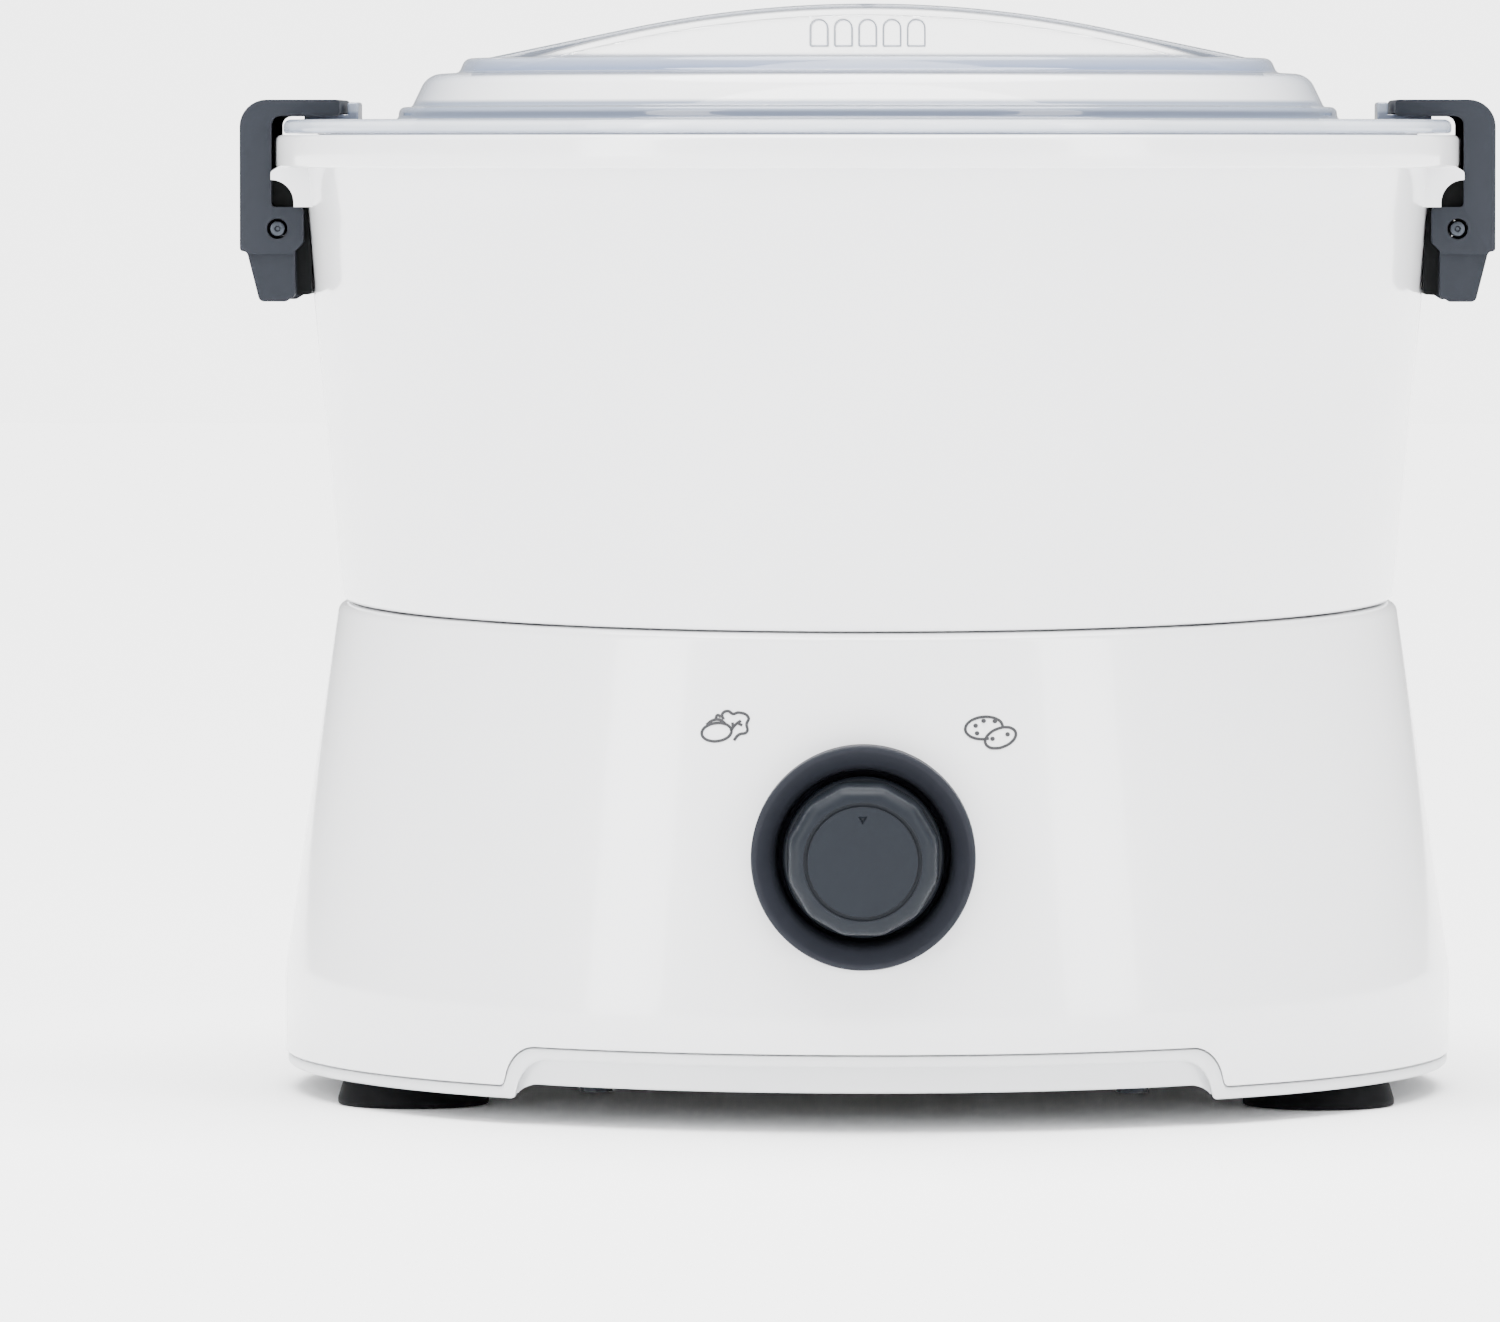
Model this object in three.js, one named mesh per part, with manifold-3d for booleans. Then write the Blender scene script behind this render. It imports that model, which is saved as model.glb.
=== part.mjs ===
// Electric potato peeler: a flared base with a motor and a two-stage gear train, a lift-off bowl with an
// abrasive disc on its floor, and a clear lid held by two rocker clips.
// Millimetres, +Z up. The front, with the knob, looks along -Y. The feet stand on z = 0.

import * as THREE from "three";
import { mergeVertices } from "three/addons/utils/BufferGeometryUtils.js";
import Module from "manifold-3d";

// Fits shared by all pieces
const fitGap = 0.3;
const overrun = 4;
const weldDistance = 0.0001;

// Counts of facets
const bodyFacets = 40;
const roundFacets = 24;
const shaftFacets = 16;
const screwFacets = 8;
const footFacets = 14;
const pinFacets = 10;
const filletSteps = 2;
const smallFillet = 2.6;

// Heights of the main levels
const housingBottom = 8.1;
const seamHeight = 106.8;
const seamGap = 0.4;
const plateauHeight = 4.4;
const floorGap = 1;
const floorThickness = 2.8;
const bowlFloorTop = seamHeight + plateauHeight + floorGap + floorThickness;
const bowlDepth = 89.4;
const rimBottom = bowlFloorTop + bowlDepth;
const rimBand = 7.2;
const rimTop = rimBottom + rimBand;

// Base housing
const wallThickness = 2.8;
const waistRadius = 117.6;
const waistRounding = 2.5;
const flareSpread = 12.2;
const flareRadius = waistRadius + flareSpread;
const flareHeight = 26;
const flareBend = 30;
const plateauInset = 14.6;
const plateauRadius = waistRadius - plateauInset;
const plateauRounding = 1;
const collarRadius = 11.5;
const collarHeight = 6.8;
const collarTop = seamHeight + plateauHeight + collarHeight;
const collarBore = 9.3;
const collarWall = 3.3;
const keyWidth = 8;
const keyReach = 4;
const keyHeight = 3.8;
const keyCount = 4;

// Raised arch in the lower edge, at the front and at the back
const archHalfWidth = 74.5;
const archRun = 7;
const archTop = 16.7;
const archSteps = 6;

// Bottom cover
const coverLipInset = 0.6;
const coverLipRadius = flareRadius - coverLipInset;
const coverLipRounding = 1.2;
const coverPadBottom = 5.2;
const coverPlateBottom = 8.8;
const coverPlate = 2.4;
const coverRing = 2.4;
const coverRingTop = 20;
const ventCount = 5;
const ventLength = 46;
const ventWidth = 4;
const ventPitch = 9;
const ventOffset = 62;

// Cover screws and their bosses
const coverScrewInset = 14.8;
const coverScrewCircle = flareRadius - coverScrewInset;
const coverScrewAngle = 60;
const bossRadius = 5.5;
const bossTop = 45;
const bossWeb = 2.6;
const screwShank = 1.7;
const screwHead = 3.5;
const screwHeadHeight = 1.9;
const coverScrewLength = 14;
const screwRoom = 2;

// Suction feet
const footInset = 17.974;
const footCircle = flareRadius - footInset;
const footAngle = 27.71;
const footLipRadius = 16.5;
const footLipWidth = 2;
const footLipHeight = 1.2;
const footWaistRadius = 11.6;
const footWaistHeight = 4.8;
const footShoulderRadius = 7.5;
const footNeckRadius = 5;
const footHeadRadius = 7.2;
const footHeadTaper = 1.4;
const footHeadHeight = 3;
const footHollow = 4.2;

// Knob, its bezel and the switch behind it
const knobHeight = 58.5;
const bezelRadius = 23.85;
const bezelRounding = 1;
const bezelFront = flareRadius;
const bezelMouthRadius = 22.4;
const bezelDishDepth = 5.3;
const bezelWellRadius = 18.4;
const bezelWellDepth = 13.8;
const bezelFloor = 2.5;
const bezelNeck = 1.2;
const knobReach = 11.7;
const knobFront = bezelFront + knobReach;
const knobSkirtRadius = 17.15;
const knobSkirtLength = 6.5;
const knobBackGap = 3.5;
const knobGripRadius = 16.6;
const knobFaceRadius = 15.7;
const knobRimBevel = 1.2;
const knobFlats = 12;
const knobShell = 2.4;
const knobHubRadius = 5.6;
const grooveRadius = 11.9;
const grooveWidth = 0.7;
const grooveDepth = 0.6;
const pointerOffset = 8.7;
const pointerRadius = 1.1;
const spindleRadius = 3;
const spindleDepth = 13;
const switchSize = 26;
const switchDepth = 17;
const switchCorner = 3;
const bushRadius = 4.7;
const bushLength = 5.6;
const nutRadius = 7;
const nutHeight = 2.2;
const nutFlats = 6;

// Mains lead gland at the back
const glandHeight = 26.5;
const glandRadius = 8.5;
const glandNeck = 5.4;
const glandBore = 3.3;
const glandReach = 3;
const glandDepth = 6;
const glandRounding = 1.2;

// Gear train
const pressureAngle = 25;
const addendumShare = 0.95;
const dedendumShare = 1.25;
const backlash = 0.3;
const pinionTeeth = 12;
const wheelTeeth = 48;
const firstModule = 1.25;
const secondModule = 1.75;
const idlerBearing = 90;
const motorBearing = 195;
const firstLevel = 70;
const firstWidth = 8;
const secondLevel = 81;
const secondWidth = 10;
const wheelRim = 4;
const wheelWeb = 4;
const wheelHub = 10;
const idlerPinionTop = 92;
const motorPinionOver = 1.5;

// Gearbox plate
const plateBottom = 66.3;
const plateThickness = 2.5;
const plateCentreX = -4.5;
const plateCentreY = 26;
const plateHalfX = 59.5;
const plateHalfY = 46;
const plateMargin = 9;
const plateScrewLength = 16;

// Shafts and bearings
const shaftRadius = 5;
const shaftBottom = 60.5;
const shaftTipRadius = 4;
const lowerBearingRadius = 8;
const lowerBearingHeight = 8.5;
const lowerBearingFlange = 11;
const lowerBearingFlangeHeight = 1.8;
const upperBearingHeight = 12;
const sealHeight = 5;
const sealRoom = 9.4;
const shaftClipRadius = 8;
const shaftClipHeight = 1.2;
const dogRadius = 8.4;
const dogFlats = 6;
const dogHeight = 9.6;
const idlerAxleRadius = 3;
const axleHeadRadius = 5;
const axleHeadHeight = 1.8;

// Motor
const motorWidth = 56;
const motorDepth = 52;
const motorCorner = 6;
const stackBottom = 31;
const stackTop = 50;
const statorBore = 16;
const slotInner = 17;
const slotOuter = 23.5;
const slotHalfDepth = 19.5;
const poleGap = 7;
const coilInner = 14.2;
const coilEnd = 5;
const armatureRadius = 15.4;
const armatureSlots = 12;
const armatureSlotWidth = 3;
const armatureSlotDepth = 5;
const windingRadius = 13.5;
const windingInner = 4.5;
const windingHeight = 3.6;
const windingRounding = 1.4;
const commutatorRadius = 9;
const commutatorBottom = 19;
const commutatorTop = 26.4;
const rotorShaftRadius = 3;
const rotorShaftBottom = 13.6;
const fanRadius = 21;
const fanBottom = 55.8;
const fanHeight = 5.2;
const fanPlate = 1.2;
const fanBlades = 8;
const fanBlade = 1.2;
const fanHub = 6;
const bracketThickness = 2.6;
const lowerBracketBottom = 15.5;
const bracketPost = 2.8;
const bracketPostInset = 3.5;
const bracketWindow = 9;
const motorBearingRadius = 6.2;
const motorBearingHeight = 3.8;
const brushLength = 13;
const brushWidth = 6;
const brushHeight = 5;
const brushHolderWall = 1.2;
const brushSpringRoom = 3;

// Bowl
const seamStep = 0.7;
const bowlFootRadius = waistRadius - seamStep;
const bowlFootRounding = 1.8;
const bowlSpread = 8.9;
const bowlRimNeck = bowlFootRadius + bowlSpread;
const rimOverhang = 6.3;
const rimRadius = bowlRimNeck + rimOverhang;
const rimWall = 2.4;
const rimRounding = 1;
const floorRounding = 7;
const chimneyBore = 13;
const chimneyWall = 2.5;
const chimneyHeight = 19.2;
const chimneyTop = bowlFloorTop + chimneyHeight;
const registerWall = 2.4;
const registerGap = 0.6;
const ribCount = 8;
const ribRadius = 2.4;
const ribFacets = 6;
const ribFloorGap = 6;
const ribRimGap = 5.4;
const ribBottom = bowlFloorTop + ribFloorGap;
const ribTop = rimBottom - ribRimGap;
const gussetThickness = 2.2;
const gussetRadius = 6;
const gussetDrop = 2.4;

// Peeling disc
const discGap = 2.6;
const discRadius = bowlFootRadius - wallThickness - discGap;
const discLift = 9;
const discBottom = bowlFloorTop + discLift;
const discThickness = 3;
const discRounding = 1.1;
const waveCount = 3;
const waveStart = 38;
const waveRimGap = 9.5;
const waveLength = discRadius - waveRimGap - waveStart;
const waveWidth = 24;
const waveHeight = 7;
const waveFacets = 12;
const discRibCount = 6;
const discRibDepth = 4;
const discRib = 2.4;
const discRibStart = 34;
const discRibInset = 5.5;
const hubNeckRadius = 21.4;
const hubSkirt = 3.6;
const hubFlangeRadius = 32;
const hubFlange = 3.2;
const hubDomeRadius = 18;
const hubDomeRounding = 5;
const hubDomeHeight = 11.4;
const hubDomeEdge = chimneyTop + hubDomeHeight;
const hubDomeFoot = 23.5;
const hubCrown = 2.4;
const hubTop = hubDomeEdge + hubCrown;
const hubScrewCircle = 27.5;
const hubScrewCount = 3;
const hubScrewLength = 5.7;

// Lid
const lidSetback = 1.2;
const lidFlangeRadius = rimRadius - lidSetback;
const lidFlange = 3.1;
const lidFlangeRounding = 0.9;
const lidLedge = 27.1;
const lidBeadRadius = lidFlangeRadius - lidLedge;
const lidBeadWidth = 4.2;
const lidStepRadius = lidBeadRadius - lidBeadWidth;
const lidStepRise = 2.6;
const lidStepHeight = rimTop + fitGap + lidFlange + lidStepRise;
const lidStepWidth = 5;
const lidPlateauRadius = lidStepRadius - lidStepWidth;
const lidPlateauRise = 7.4;
const lidPlateauHeight = lidStepHeight + lidPlateauRise;
const lidCrown = 0.8;
const lidPlateauRounding = 4;
const lidWall = 2.4;
const lidPlugGap = 1;
const lidPlugRadius = bowlRimNeck - wallThickness - lidPlugGap;
const lidPlugDepth = 7;
const ridgeInset = 4.7;
const ridgeHalfLength = lidPlateauRadius - ridgeInset;
const ridgeRise = 15.7;
const ridgeTop = lidPlateauHeight + ridgeRise;
const ridgeFall = 13.3;
const ridgeArcHalf = 55;
const ridgeArc = (ridgeArcHalf * (ridgeHalfLength - ridgeArcHalf / 2)) / ridgeFall;
const ridgeArcSteps = 12;
const ridgeHalfWidth = 11;
const ridgeWall = 2.4;
const gripCount = 5;
const gripPitch = 5.4;
const gripWidth = 4.2;
const gripDrop = 3.3;
const gripHeight = 6.2;
const gripTop = ridgeTop - gripDrop;
const gripBottom = gripTop - gripHeight;
const gripDepth = 1.2;
const lidSeat = 3;
const notchReach = lidPlugRadius + lidSeat;
const notchGap = 1.6;
const ledgeHalfWidth = 9;
const ledgeStop = 2.4;
const ledgeStopRise = 3.9;
const ledgeStopTop = rimTop + fitGap + lidFlange + ledgeStopRise;

// Rocker clips: heights are from the pin, depths from the pin, outboard positive
const pinStandoff = 4.45;
const pinReach = bowlRimNeck + pinStandoff;
const pinDrop = 20.7;
const pinHeight = rimTop - pinDrop;
const pinRadius = 1.7;
const pinHoleRadius = 2.3;
const pinEndGap = 0.5;
const clipWidth = 44;
const clipOuter = 8.3;
const clipRimInset = 0.55;
const clipInner = rimRadius - clipRimInset - pinReach;
const clipRise = 7.8;
const clipTop = pinDrop + clipRise;
const clipCorner = 6;
const clipInnerCorner = 2;
const hookReach = 13.8;
const hookStopGap = 1.05;
const ledgeInner = pinReach - hookReach - hookStopGap - ledgeStop;
const hookTip = 2.9;
const cheekReach = 5.8;
const cheekTop = 4.8;
const cheekBottom = 5;
const cheekChamfer = 2;
const tailShoulder = 6.8;
const tailInner = 3.9;
const tailBend = 14.8;
const tailLength = 16.1;
const tailOuterEnd = 4;
const tailInnerEnd = 1.8;
const clipSkin = 2.3;
const clipCheek = 2.6;

// Clip brackets
const bracketPlateGap = 0.25;
const bracketPlate = 1.9;
const bracketPlateOuter = pinStandoff - bracketPlateGap;
const bracketPlateInner = bracketPlateOuter + bracketPlate;
const bracketDrop = 14.7;
const bracketRise = 4.8;
const earRadius = 5;
const earTopRadius = 6;
const earTopOffset = 2.2;
const earThickness = 5;
const bracketSideGap = 0.5;
const padHalfWidth = 15;
const padDrop = 7;
const stakeRadius = 2;
const stakeHead = 3.2;
const stakeHeadHeight = 1.2;
const stakeOffset = 9;
const stakeRise = 1;
const clipSideGap = 0.8;

const degree = Math.PI / 180;
const halfTurn = 180;
const fullTurn = 360;
const wasm = await Module();
wasm.setup();

// Joins and cuts

function solidOf(geometry) {
  const bare = geometry.clone();
  bare.deleteAttribute("normal");
  bare.deleteAttribute("uv");
  const merged = mergeVertices(bare, weldDistance);
  const corners = merged.index.array;
  const kept = [];
  for (let i = 0; i < corners.length; i += 3) {
    const [a, b, c] = corners.slice(i, i + 3);
    if (a !== b && b !== c && c !== a) kept.push(a, b, c);
  }
  return new wasm.Manifold(
    new wasm.Mesh({
      numProp: 3,
      vertProperties: merged.attributes.position.array,
      triVerts: new Uint32Array(kept),
    }),
  );
}

function geometryOf(solid) {
  const mesh = solid.getMesh();
  const geometry = new THREE.BufferGeometry();
  const positions = new Float32Array(mesh.vertProperties);
  geometry.setAttribute("position", new THREE.BufferAttribute(positions, mesh.numProp));
  geometry.setIndex(new THREE.BufferAttribute(new Uint32Array(mesh.triVerts), 1));
  return geometry;
}

function join(...shapes) {
  return geometryOf(shapes.map(solidOf).reduce((whole, part) => whole.add(part)));
}

function cut(shape, ...tools) {
  return geometryOf(tools.map(solidOf).reduce((whole, tool) => whole.subtract(tool), solidOf(shape)));
}

// Shapes

// Each corner is [x, y] or [x, y, radius].
// A radius turns the corner into an arc, and a small radius turns it into a chamfer.
function rounded(corners, steps) {
  const points = [];
  corners.forEach(([x, y, radius = 0], i) => {
    const corner = new THREE.Vector2(x, y);
    if (radius === 0) {
      points.push(corner);
      return;
    }
    const before = new THREE.Vector2(...corners.at(i - 1).slice(0, 2)).sub(corner);
    const after = new THREE.Vector2(...corners[(i + 1) % corners.length].slice(0, 2)).sub(corner);
    const half = Math.acos(before.dot(after) / (before.length() * after.length())) / 2;
    const shortest = Math.min(before.length(), after.length()) / 2;
    const reach = Math.min(radius / Math.tan(half), shortest);
    before.normalize();
    after.normalize();
    const middle = before.clone().add(after).normalize();
    const centre = corner.clone().addScaledVector(middle, reach / Math.cos(half));
    const start = corner.clone().addScaledVector(before, reach).sub(centre);
    const end = corner.clone().addScaledVector(after, reach).sub(centre);
    const turn = Math.atan2(start.cross(end), start.dot(end));
    const count = steps ?? (radius < smallFillet ? 1 : filletSteps);
    for (let step = 0; step <= count; step++) {
      points.push(start.clone().rotateAround(new THREE.Vector2(), (turn * step) / count).add(centre));
    }
  });
  return points;
}

function signedArea(points) {
  return points.reduce((sum, point, i) => sum + point.cross(points[(i + 1) % points.length]) / 2, 0);
}

// A profile of [radius, height] corners turned round the Z axis.
function turned(corners, facets = roundFacets, steps) {
  const points = rounded(corners, steps);
  if (signedArea(points) < 0) points.reverse();
  const first = points[0];
  const last = points.at(-1);
  if (first.x > 0 || last.x > 0) points.push(first.clone());
  return new THREE.LatheGeometry(points, facets).rotateX(Math.PI / 2);
}

function ring(inner, outer, low, high, facets = roundFacets) {
  return turned([[inner, low], [outer, low], [outer, high], [inner, high]], facets);
}

function post(radius, low, high, facets = shaftFacets, topRadius = radius) {
  return new THREE.CylinderGeometry(topRadius, radius, high - low, facets)
    .rotateX(Math.PI / 2)
    .translate(0, 0, (low + high) / 2);
}

// An outline in X and Y raised along Z.
function plate(corners, low, high, steps) {
  const shape = new THREE.Shape(rounded(corners, steps));
  return new THREE.ExtrudeGeometry(shape, { depth: high - low, bevelEnabled: false }).translate(0, 0, low);
}

// An outline in X and Z, carried along Y from near to far.
function slab(corners, near, far, steps) {
  return plate(corners, -far, -near, steps).rotateX(Math.PI / 2);
}

function box(x0, x1, y0, y1, z0, z1) {
  const block = new THREE.BoxGeometry(x1 - x0, y1 - y0, z1 - z0);
  return block.translate((x0 + x1) / 2, (y0 + y1) / 2, (z0 + z1) / 2);
}

function moved(geometry, x, y, z = 0) {
  return geometry.clone().translate(x, y, z);
}

function spun(geometry, angle) {
  return geometry.clone().rotateZ(angle * degree);
}

// Lays a shape that stands on its Z axis so that it points out of the front.
function facingFront(geometry) {
  return geometry.clone().rotateX(Math.PI / 2);
}

function around(count, make, start = 0) {
  return Array.from({ length: count }, (_, i) => spun(make(), start + (fullTurn * i) / count));
}

function rectangle(halfX, halfY, corner = 0, x = 0, y = 0) {
  return [
    [x - halfX, y - halfY, corner],
    [x + halfX, y - halfY, corner],
    [x + halfX, y + halfY, corner],
    [x - halfX, y + halfY, corner],
  ];
}

// The tapered outer faces

const baseSlope = (flareRadius - waistRadius) / (seamHeight - flareHeight);
const bowlBottom = seamHeight + seamGap;
const bowlSlope = (bowlRimNeck - bowlFootRadius) / (rimBottom - bowlBottom);

function baseRadiusAt(height) {
  return waistRadius + (seamHeight - height) * baseSlope;
}

function bowlRadiusAt(height) {
  return bowlFootRadius + (height - bowlBottom) * bowlSlope;
}

// Everything below the raised arch: high at the middle, low at its two ends, with an S between.
function underArch(halfWidth, top, low) {
  const side = Array.from({ length: archSteps + 1 }, (_, i) => {
    const share = i / archSteps;
    const rise = (1 - Math.cos(share * Math.PI)) / 2;
    return [halfWidth + archRun * (1 / 2 - share), low + (top - low) * rise];
  });
  const mirrored = side.map(([x, z]) => [-x, z]).reverse();
  const bottom = low - overrun;
  const end = halfWidth + archRun / 2;
  const outline = [[-end, bottom], [end, bottom], ...side, ...mirrored];
  return slab(outline, -flareRadius - overrun, flareRadius + overrun);
}

// Levels and places that the pieces share

const plateauTop = seamHeight + plateauHeight;
const deckUnderside = plateauTop - wallThickness;
const shoulderUnderside = seamHeight - wallThickness;
const glandFace = flareRadius + glandReach;
const coverPlateTop = coverPlateBottom + coverPlate;
const plateTop = plateBottom + plateThickness;
const secondTop = secondLevel + secondWidth;
const collarBottom = secondTop + 2 * fitGap;
const upperBearingTop = collarTop - sealHeight - sealRoom;
const firstCentres = (firstModule * (pinionTeeth + wheelTeeth)) / 2;
const secondCentres = (secondModule * (pinionTeeth + wheelTeeth)) / 2;
const idlerX = secondCentres * Math.cos(idlerBearing * degree);
const idlerY = secondCentres * Math.sin(idlerBearing * degree);
const motorX = idlerX + firstCentres * Math.cos(motorBearing * degree);
const motorY = idlerY + firstCentres * Math.sin(motorBearing * degree);
const bezelNeckRadius = bezelWellRadius + bezelNeck;
const wellFloor = bezelFront - bezelWellDepth;
const lidBottom = rimTop + fitGap;
const lidFlangeTop = lidBottom + lidFlange;
const hubSeat = chimneyTop + fitGap;
const dogBottom = hubSeat + fitGap;
const socketTop = dogBottom + dogHeight + 2 * fitGap;
const shaftTop = dogBottom + dogHeight;
const rotorShaftTop = firstLevel + firstWidth + 2 * motorPinionOver;
const clipHalf = clipWidth / 2;
const hookUnderside = clipTop - hookTip;

// The four corners are always taken in this order.
const cornerNames = ["front_left", "front_right", "back_right", "back_left"];
const feet = rectangle(
  footCircle * Math.cos(footAngle * degree),
  footCircle * Math.sin(footAngle * degree),
);
const plateCorners = rectangle(plateHalfX, plateHalfY, 0, plateCentreX, plateCentreY);
const coverScrewAngles = [
  halfTurn + coverScrewAngle,
  -coverScrewAngle,
  coverScrewAngle,
  halfTurn - coverScrewAngle,
];
const coverScrews = coverScrewAngles.map((angle) => [
  coverScrewCircle * Math.cos(angle * degree),
  coverScrewCircle * Math.sin(angle * degree),
]);

function atCoverScrews(make) {
  return coverScrewAngles.map((angle) => spun(moved(make(), coverScrewCircle, 0), angle));
}

function atPlateCorners(make) {
  return plateCorners.map(([x, y]) => moved(make(), x, y));
}

// Base

function makeHousing() {
  const insideFlare = flareRadius - wallThickness;
  const shell = turned(
    [
      [flareRadius, housingBottom],
      [flareRadius, flareHeight, flareBend],
      [waistRadius, seamHeight, waistRounding],
      [plateauRadius, seamHeight],
      [plateauRadius, plateauTop, plateauRounding],
      [0, plateauTop],
      [0, deckUnderside],
      [plateauRadius - wallThickness, deckUnderside],
      [plateauRadius - wallThickness, shoulderUnderside],
      [baseRadiusAt(shoulderUnderside) - wallThickness, shoulderUnderside],
      [insideFlare, flareHeight],
      [insideFlare, housingBottom],
    ],
    bodyFacets,
  );
  const hidden = wallThickness / 2;
  const inDeck = deckUnderside + hidden;
  const collar = post(collarRadius, inDeck, collarTop);
  const sleeve = post(collarBore + collarWall, collarBottom, inDeck);
  const bosses = atCoverScrews(() => post(bossRadius, coverPlateTop + fitGap, bossTop, screwFacets));
  const web = [
    [0, coverRingTop + fitGap],
    [insideFlare + hidden - coverScrewCircle, coverRingTop + fitGap],
    [insideFlare + hidden - coverScrewCircle, flareHeight],
    [baseRadiusAt(bossTop) - hidden - coverScrewCircle, bossTop],
    [0, bossTop],
  ];
  const webs = atCoverScrews(() => slab(web, -bossWeb / 2, bossWeb / 2));
  const aboveShoulder = ring(plateauRadius, flareRadius, seamHeight - hidden, plateauTop, bodyFacets);
  const hangers = atPlateCorners(() => post(bossRadius, plateTop + fitGap, inDeck, screwFacets)).map(
    (hanger) => cut(hanger, aboveShoulder),
  );
  const idlerSocket = moved(post(bossRadius, idlerPinionTop + fitGap, inDeck), idlerX, idlerY);
  const key = box(
    plateauRadius - hidden,
    plateauRadius + keyReach,
    -keyWidth / 2,
    keyWidth / 2,
    seamHeight - hidden,
    seamHeight + keyHeight,
  );
  const coverScrewTop = coverPlateBottom - fitGap + coverScrewLength + fitGap;
  const plateScrewTop = plateBottom - fitGap + plateScrewLength + fitGap;
  const bossHoles = atCoverScrews(() => post(screwRoom, housingBottom, coverScrewTop, screwFacets));
  const hangerHoles = atPlateCorners(() => post(screwRoom, plateBottom, plateScrewTop, screwFacets));
  const axleHole = moved(post(idlerAxleRadius + fitGap, firstLevel, deckUnderside), idlerX, idlerY);
  const bezelHole = facingFront(
    post(bezelNeckRadius + fitGap, wellFloor - bezelFloor, bezelFront, roundFacets),
  );
  const glandHole = facingFront(post(glandNeck + fitGap, -glandFace, -flareRadius + glandDepth));
  return cut(
    join(shell, collar, sleeve, ...bosses, ...webs, ...hangers, idlerSocket, ...around(keyCount, () => key)),
    post(collarBore, collarBottom - overrun, collarTop + overrun),
    ...bossHoles,
    ...hangerHoles,
    axleHole,
    moved(bezelHole, 0, 0, knobHeight),
    moved(glandHole, 0, 0, glandHeight),
    underArch(archHalfWidth, archTop, housingBottom),
  );
}

// A dish that closes the base: a ring wall inside the housing, a lip under its pads and a band in its arches.
function makeCover() {
  const ringRadius = flareRadius - wallThickness - fitGap;
  const lipInside = ringRadius - coverRing;
  const bandTop = archTop - fitGap;
  const dish = turned(
    [
      [0, coverPlateBottom],
      [lipInside, coverPlateBottom],
      [lipInside, coverPadBottom],
      [coverLipRadius, coverPadBottom, coverLipRounding],
      [coverLipRadius, bandTop],
      [ringRadius, bandTop],
      [ringRadius, coverRingTop],
      [lipInside, coverRingTop],
      [lipInside, coverPlateTop],
      [0, coverPlateTop],
    ],
    bodyFacets,
  );
  const padRoom = cut(
    ring(ringRadius, flareRadius + overrun, housingBottom - fitGap, archTop, bodyFacets),
    underArch(archHalfWidth - fitGap, bandTop, housingBottom - fitGap),
  );
  const vents = [-1, 1].flatMap((side) =>
    Array.from({ length: ventCount }, (_, i) => {
      const y = (i - (ventCount - 1) / 2) * ventPitch;
      const outline = rectangle(ventLength / 2, ventWidth / 2, ventWidth / 2, 0, side * ventOffset + y);
      return plate(outline, coverPlateBottom - overrun, coverPlateTop + overrun);
    }),
  );
  const footHoles = feet.map(([x, y]) =>
    moved(post(footNeckRadius + fitGap, coverPadBottom, coverRingTop), x, y),
  );
  return cut(
    dish,
    padRoom,
    underArch(archHalfWidth, coverPlateBottom, coverPadBottom),
    ...vents,
    ...footHoles,
    ...atCoverScrews(() => post(screwRoom, coverPadBottom, coverRingTop, screwFacets)),
  );
}

function makeFoot() {
  const shoulder = coverPlateBottom - fitGap;
  const head = coverPlateTop + fitGap;
  return turned(
    [
      [0, footHollow],
      [footLipRadius - footLipWidth, 0],
      [footLipRadius, 0],
      [footLipRadius, footLipHeight],
      [footWaistRadius, footWaistHeight],
      [footShoulderRadius, shoulder],
      [footNeckRadius, shoulder],
      [footNeckRadius, head],
      [footHeadRadius, head],
      [footHeadRadius - footHeadTaper, head + footHeadHeight],
      [0, head + footHeadHeight],
    ],
    footFacets,
  );
}

// A screw that points up, its head under the face at the given height.
function screw(face, length) {
  const head = post(screwHead, face - fitGap - screwHeadHeight, face - fitGap, screwFacets);
  const shank = post(screwShank, face - fitGap - screwHeadHeight / 2, face - fitGap + length, screwFacets);
  return join(head, shank);
}

function makeGland() {
  const inside = flareRadius - wallThickness;
  const bush = turned(
    [
      [glandBore, inside - glandDepth],
      [glandNeck, inside - glandDepth],
      [glandNeck, flareRadius + fitGap],
      [glandRadius, flareRadius + fitGap],
      [glandRadius, glandFace, glandRounding],
      [glandBore, glandFace],
    ],
    shaftFacets,
  );
  return moved(facingFront(bush).rotateZ(Math.PI), 0, 0, glandHeight);
}

// Knob and switch: profiles run outwards from the middle of the base.

function atKnob(shape) {
  return moved(facingFront(shape), 0, 0, knobHeight);
}

function makeBezel() {
  const back = wellFloor - bezelFloor;
  const cup = turned([
    [bushRadius + fitGap, back],
    [bezelRadius, back],
    [bezelRadius, bezelFront, bezelRounding],
    [bezelMouthRadius, bezelFront],
    [bezelWellRadius, bezelFront - bezelDishDepth],
    [bezelWellRadius, wellFloor],
    [bushRadius + fitGap, wellFloor],
  ]);
  const low = knobHeight - bezelRadius - overrun;
  const high = knobHeight + bezelRadius + overrun;
  const housing = turned(
    [
      [0, low],
      [flareRadius + fitGap, low],
      [flareRadius + fitGap, flareHeight],
      [baseRadiusAt(high) + fitGap, high],
      [0, high],
    ],
    bodyFacets,
  );
  return cut(atKnob(cup), cut(housing, atKnob(post(bezelNeckRadius, 0, flareRadius + overrun, roundFacets))));
}

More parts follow.
